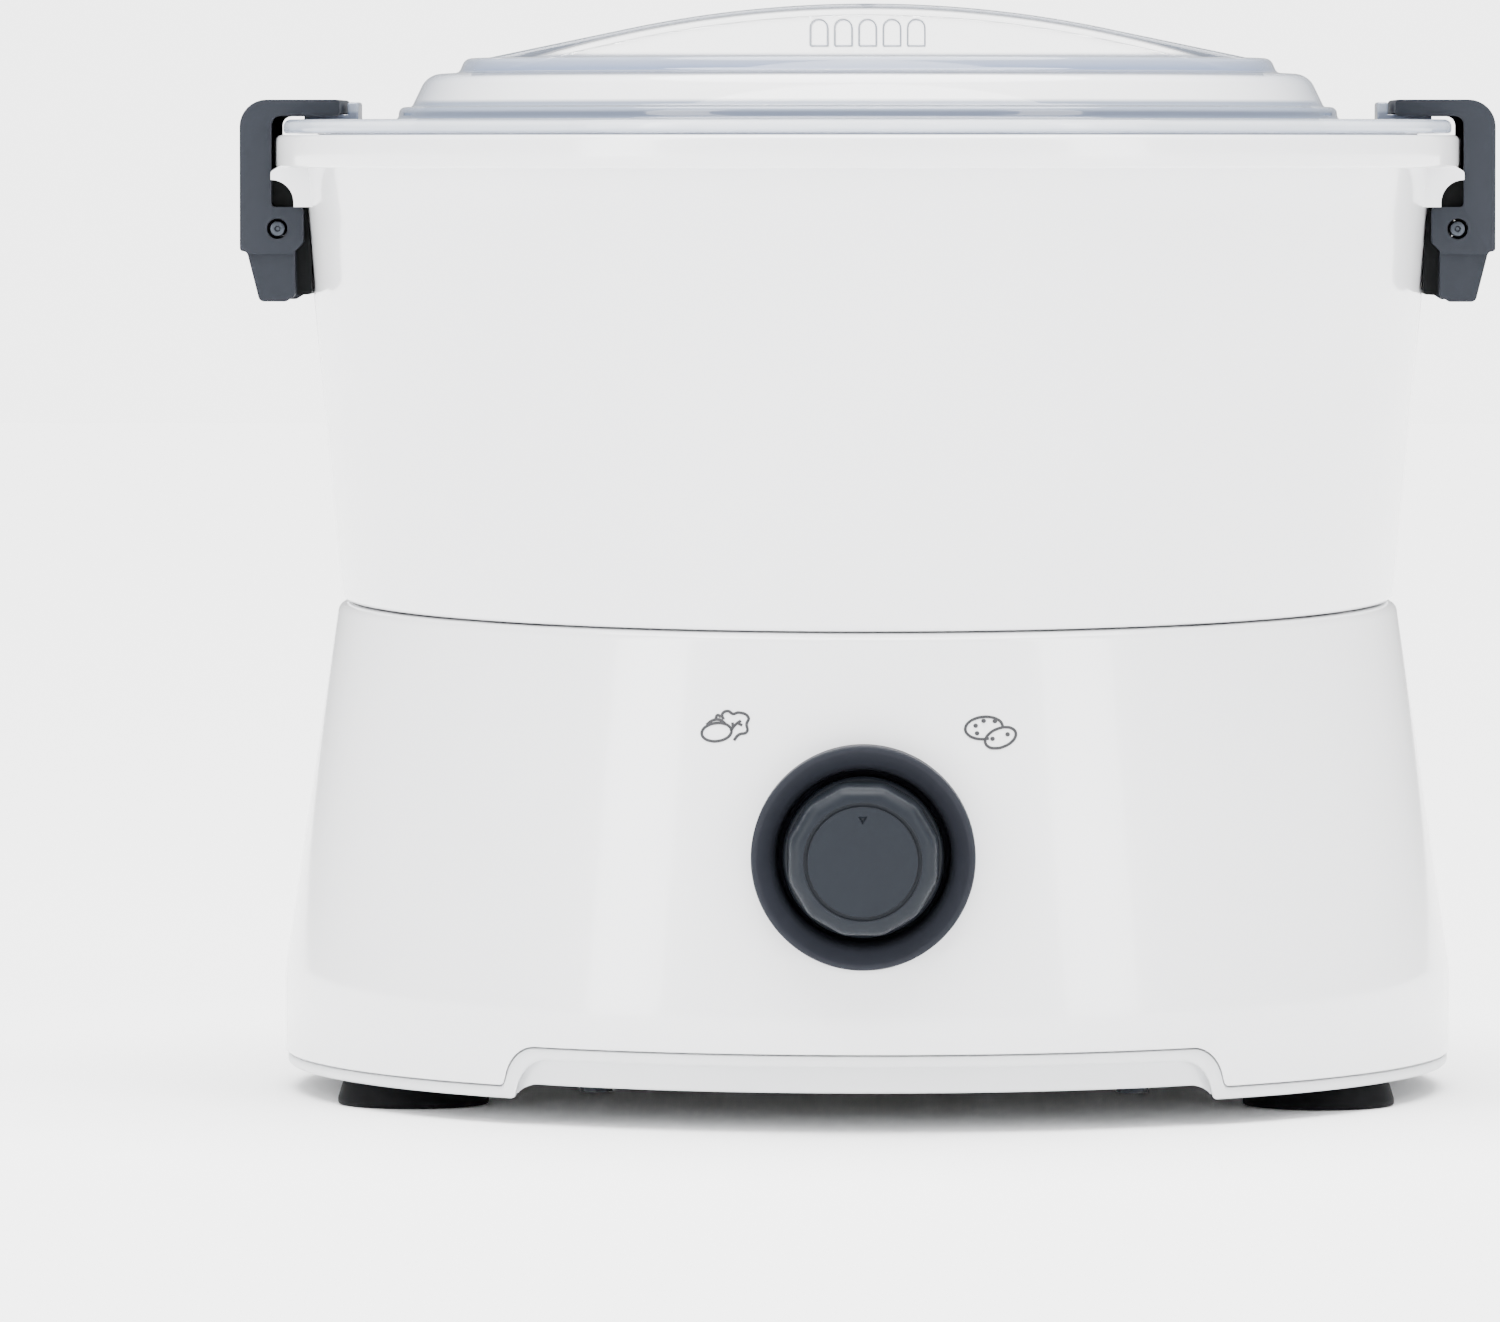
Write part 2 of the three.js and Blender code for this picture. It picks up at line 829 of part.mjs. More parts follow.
function makeKnob() {
  const skirtBack = wellFloor + knobBackGap;
  const skirtFront = skirtBack + knobSkirtLength;
  const skirt = turned([
    [0, skirtBack],
    [knobSkirtRadius, skirtBack],
    [knobSkirtRadius, skirtFront, knobRimBevel],
    [0, skirtFront],
  ]);
  const rimBack = knobFront - knobRimBevel;
  const grip = post(knobGripRadius, skirtBack, rimBack, knobFlats, knobFaceRadius);
  const rim = post(knobFaceRadius, rimBack, knobFront, knobFlats, knobFaceRadius - knobRimBevel);
  const hollowTop = knobFront - knobShell;
  const hollow = ring(knobHubRadius, knobFaceRadius - knobShell, skirtBack - overrun, hollowTop, shaftFacets);
  const groove = ring(grooveRadius, grooveRadius + grooveWidth, knobFront - grooveDepth, knobFront + overrun);
  const dimple = post(pointerRadius, knobFront - grooveDepth, knobFront + overrun, screwFacets);
  const bore = post(spindleRadius + fitGap, skirtBack - overrun, skirtBack + spindleDepth + fitGap);
  return atKnob(cut(join(skirt, grip, rim), hollow, groove, moved(dimple, 0, pointerOffset), bore));
}

function makeSwitch() {
  const front = wellFloor - bezelFloor - fitGap;
  const outline = rectangle(switchSize / 2, switchSize / 2, switchCorner);
  const bush = post(bushRadius, front - switchCorner, front + bushLength);
  const bore = post(spindleRadius + fitGap, front - switchDepth / 2, front + bushLength + overrun);
  return atKnob(cut(join(plate(outline, front - switchDepth, front), bush), bore));
}

function makeSpindle() {
  const back = wellFloor - bezelFloor - fitGap - switchDepth / 2 + fitGap;
  return atKnob(post(spindleRadius, back, wellFloor + knobBackGap + spindleDepth));
}

function makeNut() {
  const nut = post(nutRadius, wellFloor + fitGap, wellFloor + fitGap + nutHeight, nutFlats);
  return atKnob(cut(nut, post(bushRadius + fitGap, wellFloor, wellFloor + nutHeight + overrun)));
}

// Gears

// Points round a spur gear with one tooth centred on the X axis and involute flanks of a few steps.
function gearOutline(teeth, gearModule) {
  const pitchRadius = (teeth * gearModule) / 2;
  const baseCircle = pitchRadius * Math.cos(pressureAngle * degree);
  const tip = pitchRadius + addendumShare * gearModule;
  const root = pitchRadius - dedendumShare * gearModule;
  const involute = (angle) => Math.tan(angle) - angle;
  const widest = Math.PI / (2 * teeth) - backlash / (4 * pitchRadius) + involute(pressureAngle * degree);
  const halfAngle = (radius) => widest - involute(Math.acos(Math.min(1, baseCircle / radius)));
  const start = Math.max(root, baseCircle);
  const radii = teeth > pinionTeeth ? [start, tip] : [root, (start + tip) / 2, tip];
  const flank = radii.map((radius) => [radius, halfAngle(Math.max(radius, baseCircle))]);
  const points = [];
  for (let tooth = 0; tooth < teeth; tooth++) {
    const middle = (2 * Math.PI * tooth) / teeth;
    for (const [radius, angle] of flank) {
      points.push([radius * Math.cos(middle - angle), radius * Math.sin(middle - angle)]);
    }
    for (const [radius, angle] of [...flank].reverse()) {
      points.push([radius * Math.cos(middle + angle), radius * Math.sin(middle + angle)]);
    }
  }
  return points;
}

function gear(teeth, gearModule, low, high) {
  return plate(gearOutline(teeth, gearModule), low, high);
}

// A wheel meets a pinion with a gap between teeth, half a tooth round from the tooth on its X axis.
const meshTurn = halfTurn / wheelTeeth;

// Sinks both faces of a wheel to a thin web between its rim and its hub.
function webbed(wheel, gearModule, low, high) {
  const rim = (wheelTeeth * gearModule) / 2 - dedendumShare * gearModule - wheelRim;
  const sink = (high - low - wheelWeb) / 2;
  const lower = ring(wheelHub, rim, low - overrun, low + sink, shaftFacets);
  return cut(wheel, lower, ring(wheelHub, rim, high - sink, high + overrun, shaftFacets));
}

function makeDriveGear() {
  const wheel = spun(gear(wheelTeeth, secondModule, secondLevel, secondTop), idlerBearing + meshTurn);
  const hubBottom = plateBottom - fitGap - lowerBearingFlangeHeight + lowerBearingHeight + fitGap;
  const hub = post(lowerBearingRadius, hubBottom, secondLevel + wheelWeb / 2);
  const bore = post(shaftRadius + fitGap, hubBottom - overrun, secondTop + overrun);
  return cut(join(webbed(wheel, secondModule, secondLevel, secondTop), hub), bore);
}

function makeIdlerGear() {
  const firstTop = firstLevel + firstWidth;
  const middle = firstLevel + firstWidth / 2;
  const wheel = spun(gear(wheelTeeth, firstModule, firstLevel, firstTop), motorBearing - halfTurn + meshTurn);
  const pinion = spun(gear(pinionTeeth, secondModule, middle, idlerPinionTop), idlerBearing - halfTurn);
  const hub = post(bossRadius, plateTop + fitGap, middle);
  const bore = post(idlerAxleRadius + fitGap, plateTop - overrun, idlerPinionTop + overrun);
  const body = join(webbed(wheel, firstModule, firstLevel, firstTop), pinion, hub);
  return moved(cut(body, bore), idlerX, idlerY);
}

function makeMotorPinion() {
  const bottom = firstLevel - motorPinionOver / 2;
  const top = firstLevel + firstWidth + motorPinionOver;
  const teeth = spun(gear(pinionTeeth, firstModule, bottom, top), motorBearing - halfTurn);
  return cut(teeth, post(rotorShaftRadius + fitGap, plateTop, rotorShaftTop + overrun));
}

// Gearbox plate, shafts and bearings

function makePlate() {
  const halfX = plateHalfX + plateMargin;
  const halfY = plateHalfY + plateMargin;
  const outline = rectangle(halfX, halfY, plateMargin, plateCentreX, plateCentreY);
  const through = (radius, x, y) => moved(post(radius, plateBottom - overrun, plateTop + overrun), x, y);
  const room = baseRadiusAt(plateTop) - wallThickness - fitGap;
  return cut(
    plate(outline, plateBottom, plateTop),
    ring(room, flareRadius + plateHalfX, plateBottom - overrun, plateTop + overrun, bodyFacets),
    through(lowerBearingRadius + fitGap, 0, 0),
    through(idlerAxleRadius + fitGap, idlerX, idlerY),
    through(motorBearingRadius, motorX, motorY),
    ...atPlateCorners(() => post(screwRoom, plateBottom - overrun, plateTop + overrun, screwFacets)),
  );
}

function makeLowerBearing() {
  const flangeTop = plateBottom - fitGap;
  const flangeBottom = flangeTop - lowerBearingFlangeHeight;
  return turned(
    [
      [shaftRadius + fitGap, flangeBottom],
      [lowerBearingFlange, flangeBottom],
      [lowerBearingFlange, flangeTop],
      [lowerBearingRadius, flangeTop],
      [lowerBearingRadius, flangeBottom + lowerBearingHeight],
      [shaftRadius + fitGap, flangeBottom + lowerBearingHeight],
    ],
    shaftFacets,
  );
}

function makeShaftClip() {
  const top = plateBottom - 2 * fitGap - lowerBearingFlangeHeight;
  return ring(shaftRadius + fitGap, shaftClipRadius, top - shaftClipHeight, top, shaftFacets);
}

function makeDriveShaft() {
  return turned(
    [
      [0, shaftBottom],
      [shaftRadius, shaftBottom],
      [shaftRadius, hubSeat],
      [shaftTipRadius, hubSeat],
      [shaftTipRadius, shaftTop],
      [0, shaftTop],
    ],
    shaftFacets,
  );
}

function makeDog() {
  const hex = post(dogRadius, dogBottom, dogBottom + dogHeight, dogFlats);
  return cut(hex, post(shaftTipRadius + fitGap, hubSeat, shaftTop + overrun));
}

function makeIdlerAxle() {
  const headTop = plateBottom - fitGap;
  const rod = post(idlerAxleRadius, headTop - axleHeadHeight / 2, deckUnderside - fitGap);
  return moved(join(rod, post(axleHeadRadius, headTop - axleHeadHeight, headTop)), idlerX, idlerY);
}

// Motor: everything about its own axis, then moved to its place

function makeStator() {
  const low = stackBottom - overrun;
  const high = stackTop + overrun;
  const outline = rectangle(motorWidth / 2, motorDepth / 2, motorCorner);
  const slot = box(slotInner, slotOuter, -slotHalfDepth, slotHalfDepth, low, high);
  const throat = box(-slotInner, slotInner, -poleGap, poleGap, low, high);
  return cut(
    plate(outline, stackBottom, stackTop),
    post(statorBore, low, high, roundFacets),
    slot,
    spun(slot, halfTurn),
    throat,
  );
}

// Two coils, each a rounded frame round its pole.
function makeCoils() {
  const halfOut = slotOuter - fitGap;
  const halfIn = slotInner + fitGap;
  const middle = (stackBottom + stackTop) / 2;
  const halfTall = (stackTop - stackBottom) / 2;
  const near = coilInner;
  const far = slotHalfDepth - fitGap;
  const frame = (from, to) =>
    cut(
      slab(rectangle(halfOut, halfTall + coilEnd, coilEnd, 0, middle), from, to),
      slab(rectangle(halfIn, halfTall + fitGap, 0, 0, middle), from - overrun, to + overrun),
    );
  return [frame(-far, -near), frame(near, far)];
}

function bracketPosts(low, high) {
  const x = motorWidth / 2 - bracketPostInset;
  const y = motorDepth / 2 - bracketPostInset;
  return rectangle(x, y).map(([px, py]) => moved(post(bracketPost, low, high, screwFacets), px, py));
}

// A plate that carries one end of the rotor, with four legs to the stack.
function makeMotorBracket(low, legLow, legHigh) {
  const high = low + bracketThickness;
  const outline = rectangle(motorWidth / 2, motorDepth / 2, motorCorner);
  const windowX = motorWidth / 2 - bracketWindow;
  const windows = [-1, 1].map((side) => {
    const middle = (side * (motorDepth / 2 + motorBearingRadius)) / 2;
    const outline = rectangle(windowX, bracketWindow / 2, bracketWindow / 4, 0, middle);
    return plate(outline, low - overrun, high + overrun);
  });
  return cut(
    join(plate(outline, low, high), ...bracketPosts(legLow, legHigh)),
    post(motorBearingRadius + fitGap, low - overrun, high + overrun),
    ...windows,
  );
}

function makeArmature() {
  const slots = around(armatureSlots, () =>
    box(
      armatureRadius - armatureSlotDepth,
      armatureRadius + overrun,
      -armatureSlotWidth / 2,
      armatureSlotWidth / 2,
      stackBottom - overrun,
      stackTop + overrun,
    ),
  );
  const core = post(armatureRadius, stackBottom, stackTop, armatureSlots * 2);
  return cut(core, ...slots, post(rotorShaftRadius + fitGap, stackBottom - overrun, stackTop + overrun));
}

function makeWindings() {
  const end = (low) =>
    turned(
      [
        [windingInner, low],
        [windingRadius, low, windingRounding],
        [windingRadius, low + windingHeight, windingRounding],
        [windingInner, low + windingHeight],
      ],
      armatureSlots,
    );
  const bars = around(armatureSlots, () =>
    box(
      armatureRadius - armatureSlotDepth + fitGap,
      armatureRadius - armatureSlotDepth / 2,
      fitGap - armatureSlotWidth / 2,
      armatureSlotWidth / 2 - fitGap,
      stackBottom - windingHeight / 2,
      stackTop + windingHeight / 2,
    ),
  );
  return join(end(stackTop + fitGap), end(stackBottom - fitGap - windingHeight), ...bars);
}

function makeFan() {
  const blades = around(fanBlades, () =>
    box(fanHub, fanRadius, -fanBlade / 2, fanBlade / 2, fanBottom + fanPlate / 2, fanBottom + fanHeight),
  );
  const body = join(
    post(fanRadius, fanBottom, fanBottom + fanPlate),
    post(fanHub + fanBlade, fanBottom, fanBottom + fanHeight),
    ...blades,
  );
  return cut(body, post(rotorShaftRadius + fitGap, fanBottom - overrun, fanBottom + fanHeight + overrun));
}

// Two square sleeves that carry the brushes, and the brushes in them.
const brushMiddle = (commutatorBottom + commutatorTop) / 2;
const brushStart = commutatorRadius + fitGap;

function brushBlock(from, to, halfWidth, halfHeight) {
  return box(from, to, -halfWidth, halfWidth, brushMiddle - halfHeight, brushMiddle + halfHeight);
}

function makeBrushHolders() {
  const halfWidth = brushWidth / 2 + fitGap;
  const halfHeight = brushHeight / 2 + fitGap;
  const end = brushStart + brushLength + brushSpringRoom;
  const holder = () =>
    cut(
      join(
        brushBlock(
          brushStart + brushHolderWall,
          end,
          halfWidth + brushHolderWall,
          halfHeight + brushHolderWall,
        ),
        box(
          end - brushSpringRoom - brushHolderWall,
          end,
          -halfWidth,
          halfWidth,
          lowerBracketBottom + bracketThickness + fitGap,
          brushMiddle,
        ),
      ),
      brushBlock(brushStart, end - brushHolderWall, halfWidth, halfHeight),
    );
  return around(2, holder);
}

function makeBrushes() {
  return around(2, () => brushBlock(brushStart, brushStart + brushLength, brushWidth / 2, brushHeight / 2));
}

function motorPieces() {
  const upperLow = plateBottom - fitGap - bracketThickness;
  const lowerHigh = lowerBracketBottom + bracketThickness;
  const bore = rotorShaftRadius + fitGap;
  const bearing = (low) => ring(bore, motorBearingRadius, low, low + motorBearingHeight, shaftFacets);
  const [frontCoil, backCoil] = makeCoils();
  const [rightHolder, leftHolder] = makeBrushHolders();
  const [rightBrush, leftBrush] = makeBrushes();
  return {
    motor_stator: [makeStator(), laminatedSteel],
    field_coil_front: [frontCoil, copperWire],
    field_coil_back: [backCoil, copperWire],
    motor_upper_bracket: [
      makeMotorBracket(upperLow, stackTop + fitGap, upperLow + bracketThickness / 2),
      zincPlate,
    ],
    motor_lower_bracket: [
      makeMotorBracket(lowerBracketBottom, lowerHigh - bracketThickness / 2, stackBottom - fitGap),
      zincPlate,
    ],
    upper_motor_bearing: [bearing(plateBottom - fitGap - motorBearingHeight), sinteredBronze],
    lower_motor_bearing: [bearing(lowerHigh - motorBearingHeight), sinteredBronze],
    brush_holder_left: [leftHolder, brass],
    brush_holder_right: [rightHolder, brass],
    carbon_brush_left: [leftBrush, carbon],
    carbon_brush_right: [rightBrush, carbon],
    motor_shaft: [post(rotorShaftRadius, rotorShaftBottom, rotorShaftTop), groundSteel],
    armature_core: [makeArmature(), laminatedSteel],
    armature_windings: [makeWindings(), copperWire],
    commutator: [ring(bore, commutatorRadius, commutatorBottom, commutatorTop, shaftFacets), copperWire],
    cooling_fan: [makeFan(), naturalNylon],
    motor_pinion: [makeMotorPinion(), brass],
  };
}

// Bowl

function makeBowl() {
  const innerAt = (height) => bowlRadiusAt(height) - wallThickness;
  const floorBottom = bowlFloorTop - floorThickness;
  const rimPlate = rimTop - rimWall;
  const register = plateauRadius + registerGap;
  const shell = turned(
    [
      [innerAt(bowlBottom), bowlBottom],
      [bowlFootRadius, bowlBottom, bowlFootRounding],
      [bowlRadiusAt(rimPlate), rimPlate],
      [rimRadius - rimWall, rimPlate],
      [rimRadius - rimWall, rimBottom],
      [rimRadius, rimBottom],
      [rimRadius, rimTop, rimRounding],
      [innerAt(rimTop), rimTop],
      [innerAt(bowlFloorTop), bowlFloorTop, floorRounding],
      [0, bowlFloorTop],
      [0, floorBottom],
      [register, floorBottom],
      [register, bowlBottom],
      [register + registerWall, bowlBottom],
      [register + registerWall, floorBottom],
      [innerAt(floorBottom), floorBottom],
    ],
    bodyFacets,
  );
  const chimney = post(chimneyBore + chimneyWall, bowlFloorTop - floorThickness / 2, chimneyTop);
  const ribLength = (ribTop - ribBottom) / Math.cos(Math.atan(bowlSlope));
  const rib = moved(
    post(ribRadius, -ribLength / 2, ribLength / 2, ribFacets).rotateY(Math.atan(bowlSlope)),
    innerAt((ribTop + ribBottom) / 2),
    0,
    (ribTop + ribBottom) / 2,
  );
  const keyRoom = box(
    register - registerGap,
    register + registerWall + keyReach,
    -keyWidth / 2 - registerGap,
    keyWidth / 2 + registerGap,
    bowlBottom - overrun,
    floorBottom,
  );
  const stakeHoles = [-1, 1].flatMap((side) =>
    bothSides(() => stakeBar(stakeRadius + fitGap, side * stakeOffset, -bowlRimNeck / 2, bracketPlateInner)),
  );
  return cut(
    join(shell, chimney, ...around(ribCount, () => rib, halfTurn / ribCount), ...bothSides(makeGussets)),
    post(chimneyBore, floorBottom - overrun, chimneyTop + overrun),
    ...around(keyCount, () => keyRoom),
    ...stakeHoles,
  );
}

// Moves a shape drawn round the right-hand pin to the right of the bowl, and a copy of it to the left.
function atRight(shape) {
  return moved(shape, pinReach, 0, pinHeight);
}

function bothSides(make) {
  const right = atRight(make());
  return [right, spun(right, halfTurn)];
}

function bowlCone(grow) {
  const low = pinHeight - bracketDrop - overrun;
  const high = pinHeight + clipTop;
  return post(bowlRadiusAt(low) + grow, low, high, bodyFacets, bowlRadiusAt(high) + grow);
}

// Two ribs under the rim, one each side of a clip, with a round bite above the bracket.
function makeGussets() {
  const near = clipHalf + clipSideGap;
  const top = rimTop - rimWall / 2 - pinHeight;
  const biteTop = earTopRadius + cheekTop;
  const back = bowlRadiusAt(rimBottom) - wallThickness / 2 - pinReach - gussetRadius;
  const outline = [
    [back, top],
    [back, cheekTop],
    [earTopOffset - gussetRadius, cheekTop],
    [earTopOffset - gussetRadius, biteTop, gussetRadius],
    [clipInner, biteTop],
    [clipInner, rimBottom - pinHeight + gussetDrop],
    [rimRadius - rimWall / 2 - pinReach - gussetDrop, top],
  ];
  const far = near + gussetThickness;
  const ribs = join(slab(outline, near, far, archSteps), slab(outline, -far, -near, archSteps));
  const inside = moved(bowlCone(-wallThickness / 2), -pinReach, 0, -pinHeight);
  const outside = ring(rimRadius, rimRadius + bossTop, 0, rimTop, bodyFacets);
  const rimSpace = moved(outside, -pinReach, 0, -pinHeight);
  return cut(ribs, inside, rimSpace);
}

// A round bar along X, from one depth to another of the pin's frame.
function stakeBar(radius, y, from, to) {
  return moved(post(radius, from, to, screwFacets).rotateY(Math.PI / 2), 0, y, stakeRise);
}

function makeBracket() {
  const half = clipHalf - clipCheek - bracketSideGap;
  const backPlate = slab(
    [
      [-bracketPlateInner, -bracketDrop],
      [-bracketPlateOuter, -bracketDrop],
      [-bracketPlateOuter, bracketRise],
      [-bracketPlateInner, bracketRise],
    ],
    -half,
    half,
  );
  const pad = slab(
    [
      [-bracketPlateInner - stakeHead - overrun, -padDrop],
      [-bracketPlateOuter, -padDrop],
      [-bracketPlateOuter, bracketRise],
      [-bracketPlateInner - stakeHead - overrun, bracketRise],
    ],
    -padHalfWidth,
    padHalfWidth,
  );
  const earOutline = [
    [-bracketPlateInner, -earRadius],
    [earRadius, -earRadius, earRadius],
    [earRadius, cheekTop],
    [earTopOffset, cheekTop + earTopRadius],
    [earTopOffset - earTopRadius, cheekTop + earTopRadius, earTopRadius],
    [earTopOffset - earTopRadius, cheekTop],
    [-bracketPlateInner, cheekTop],
  ];
  const ears = [-1, 1].map((side) => {
    const ends = [side * half, side * (half - earThickness)].sort((a, b) => a - b);
    return slab(earOutline, ...ends, archSteps / 2);
  });
  const wall = moved(bowlCone(fitGap), -pinReach, 0, -pinHeight);
  const body = cut(join(backPlate, pad, ...ears), wall);
  const innerWall = bowlRadiusAt(pinHeight + stakeRise - stakeHead) - wallThickness;
  const headFace = Math.sqrt(innerWall ** 2 - (stakeOffset + stakeHead) ** 2) - fitGap - pinReach;
  const stakes = [-stakeOffset, stakeOffset].flatMap((y) => [
    stakeBar(stakeRadius, y, headFace - stakeHeadHeight / 2, -bracketPlateOuter - fitGap),
    stakeBar(stakeHead, y, headFace - stakeHeadHeight, headFace),
  ]);
  return cut(join(body, ...stakes), pinBar(pinRadius + fitGap, clipHalf));
}

// A round bar along the pin's axis.
function pinBar(radius, halfLength) {
  return post(radius, -halfLength, halfLength, pinFacets).rotateX(Math.PI / 2);
}

function makeClip() {
  const outline = [
    [-hookReach, hookUnderside],
    [clipInner, hookUnderside, clipInnerCorner],
    [clipInner, cheekTop],
    [-cheekReach, cheekTop, cheekChamfer / 2],
    [-cheekReach, cheekChamfer - cheekBottom],
    [cheekChamfer - cheekReach, -cheekBottom],
    [-tailInner, -cheekBottom - fitGap],
    [-tailInner, -tailBend],
    [-tailInnerEnd, -tailLength],
    [tailOuterEnd, -tailLength],
    [tailShoulder, -cheekBottom],
    [clipOuter, -cheekBottom, cheekChamfer / 2],
    [clipOuter, clipTop, clipCorner],
    [-hookReach, clipTop],
  ];
  const skinSlope = (tailShoulder - tailOuterEnd) / (tailLength - cheekBottom);
  const far = -hookReach - overrun;
  const low = -tailLength - overrun;
  const pocket = [
    [far, low],
    [tailOuterEnd - clipSkin - overrun * skinSlope, low],
    [tailShoulder - clipSkin, -cheekBottom],
    [clipOuter - clipSkin, cheekChamfer - cheekBottom],
    [clipOuter - clipSkin, hookUnderside, clipCorner - clipSkin],
    [far, hookUnderside],
  ];
  const half = clipHalf - clipCheek;
  const shell = cut(slab(outline, -clipHalf, clipHalf, archSteps / 2), slab(pocket, -half, half));
  return cut(shell, pinBar(pinHoleRadius, clipHalf + overrun));
}

// Lid

function makeLid() {
  const shell = turned(
    [
      [lidFlangeRadius, lidBottom],
      [lidFlangeRadius, lidFlangeTop, lidFlangeRounding],
      [lidBeadRadius, lidFlangeTop],
      [lidStepRadius, lidStepHeight],
      [lidPlateauRadius, lidPlateauHeight, lidPlateauRounding],
      [0, lidPlateauHeight + lidCrown],
      [0, lidPlateauHeight + lidCrown - lidWall],
      [lidPlateauRadius - lidWall, lidPlateauHeight - lidWall, lidPlateauRounding - lidWall],
      [lidStepRadius - lidWall, lidStepHeight - lidWall / 2],
      [lidBeadRadius - lidWall, lidFlangeTop - lidWall],
      [lidPlugRadius - lidWall, lidFlangeTop - lidWall],
      [lidPlugRadius - lidWall, lidBottom - lidPlugDepth],
      [lidPlugRadius, lidBottom - lidPlugDepth],
      [lidPlugRadius, lidBottom],
    ],
    bodyFacets,
  );
  const ledge = atEachHook(ledgeInner, notchReach, ledgeHalfWidth, pinHeight + hookUnderside - fitGap);
  const stops = atEachHook(ledgeInner, ledgeInner + ledgeStop, ledgeHalfWidth, ledgeStopTop);
  const notchHalf = clipHalf + notchGap;
  const notchBottom = rimTop - lidPlugDepth;
  const notch = box(notchReach, notchReach + rimRadius, -notchHalf, notchHalf, notchBottom, ridgeTop);
  const inside = ridgeBody(ridgeWall);
  const hollowed = cut(join(shell, ridgeBody(0), ...ledge, ...stops), inside);
  return cut(hollowed, notch, spun(notch, halfTurn), ...gripSlots());
}

function atEachHook(inner, outer, half, top) {
  const block = box(inner, outer, -half, half, lidFlangeTop - lidWall / 2, top);
  return [block, spun(block, halfTurn)];
}

// The arched grip across the lid: a long arc whose ends run off straight, drawn in by a wall.
function ridgeBody(wall) {
  const radius = ridgeArc - wall;
  const top = ridgeTop - wall;
  const bend = Math.asin(ridgeArcHalf / ridgeArc);
  const arc = Array.from({ length: ridgeArcSteps + 1 }, (_, i) => {
    const angle = bend * (1 - (2 * i) / ridgeArcSteps);
    return [radius * Math.sin(angle), top - radius * (1 - Math.cos(angle))];
  });
  const low = wall > 0 ? lidPlateauHeight - lidWall - overrun : lidPlateauHeight - lidWall / 2;
  const end = ridgeHalfLength - wall;
  const drop = (ridgeArcHalf / ridgeArc) * (ridgeHalfLength - ridgeArcHalf);
  const endTop = ridgeTop - ridgeArc * (1 - Math.cos(bend)) - drop - wall;
  const outline = [[-end, low], [end, low], [end, endTop], ...arc, [-end, endTop]];
  const half = ridgeHalfWidth - wall;
  return slab(outline, -half, half);
}

function gripSlots() {
  return Array.from({ length: gripCount }, (_, i) => {
    const x = (i - (gripCount - 1) / 2) * gripPitch;
    const half = gripWidth / 2;
    const outline = [
      [x - half, gripBottom],
      [x + half, gripBottom],
      [x + half, gripTop, half],
      [x - half, gripTop, half],
    ];
    const deep = ridgeHalfWidth - gripDepth;
    const far = ridgeHalfWidth + overrun;
    return [slab(outline, deep, far), slab(outline, -far, -deep)];
  }).flat();
}

// Peeling disc

function makeDisc() {
  const discTop = discBottom + discThickness;
  const flat = turned(
    [
      [hubNeckRadius + fitGap, discBottom],
      [discRadius, discBottom, discRounding],
      [discRadius, discTop, discRounding],
      [hubNeckRadius + fitGap, discTop],
    ],
    bodyFacets,
  );
  const wave = new THREE.SphereGeometry(1, waveFacets, waveFacets)
    .scale(waveLength / 2, waveWidth / 2, waveHeight)
    .translate(waveStart + waveLength / 2, 0, discTop);
  const under = box(-discRadius, discRadius, -discRadius, discRadius, 0, discTop - discThickness / 2);
  const middle = discBottom + discThickness / 2;
  const ribEnd = discRadius - discRibInset;
  const ribFoot = discBottom - discRibDepth;
  const rib = box(discRibStart, ribEnd, -discRib / 2, discRib / 2, ribFoot, middle);
  const waves = around(waveCount, () => cut(wave, under));
  return cut(
    join(flat, ...waves, ...around(discRibCount, () => rib, halfTurn / discRibCount)),
    ...atHubScrews(() => post(screwRoom, 0, discTop + overrun, screwFacets)),
  );
}

function atHubScrews(make) {
  return around(hubScrewCount, () => moved(make(), hubScrewCircle, 0));
}

function makeHub() {
  const flangeBottom = discBottom + discThickness + fitGap;
  const flangeTop = flangeBottom + hubFlange;
  const skirtRadius = hubNeckRadius - hubSkirt;
  const body = turned([
    [0, hubSeat],
    [skirtRadius, hubSeat],
    [skirtRadius, discBottom - hubFlange],
    [hubNeckRadius, discBottom - hubFlange],
    [hubNeckRadius, flangeBottom],
    [hubFlangeRadius, flangeBottom],
    [hubFlangeRadius, flangeTop, hubFlange / 2],
    [hubDomeFoot, flangeTop, hubFlange],
    [hubDomeRadius, hubDomeEdge, hubDomeRounding],
    [0, hubTop],
  ]);
  const screwEnd = discBottom - fitGap + hubScrewLength + fitGap;
  const socket = post(dogRadius + 2 * fitGap, hubSeat - overrun, socketTop, dogFlats);
  return cut(body, socket, ...atHubScrews(() => post(screwRoom, discBottom, screwEnd, screwFacets)));
}

// Materials

function finish(color, roughness, metalness = 0, opacity = 1) {
  const transparent = opacity < 1;
  return () => new THREE.MeshStandardMaterial({ color, roughness, metalness, opacity, transparent });
}

const whiteAbs = finish(0xf2f3f2, 0.28);
const paleGrey = finish(0xd8d9d9, 0.4);
const clipGrey = finish(0x60646e, 0.45);
const knobGrey = finish(0x4a505a, 0.4);
const bezelGrey = finish(0x3c4148, 0.5);
const blackRubber = finish(0x141416, 0.6);
const clearLid = finish(0xe8eef2, 0.08, 0, 0.3);
const abrasiveGrit = finish(0x4b4744, 0.95);
const blackPlastic = finish(0x1d1e20, 0.5);
const groundSteel = finish(0xb9bcc0, 0.3, 1);
const zincPlate = finish(0xa8adb2, 0.45, 1);
const laminatedSteel = finish(0x7d8085, 0.5, 1);
const sinteredBronze = finish(0x9a7a4c, 0.5, 1);
const brass = finish(0xc6a25a, 0.35, 1);
const copperWire = finish(0xa65a2e, 0.4, 1);
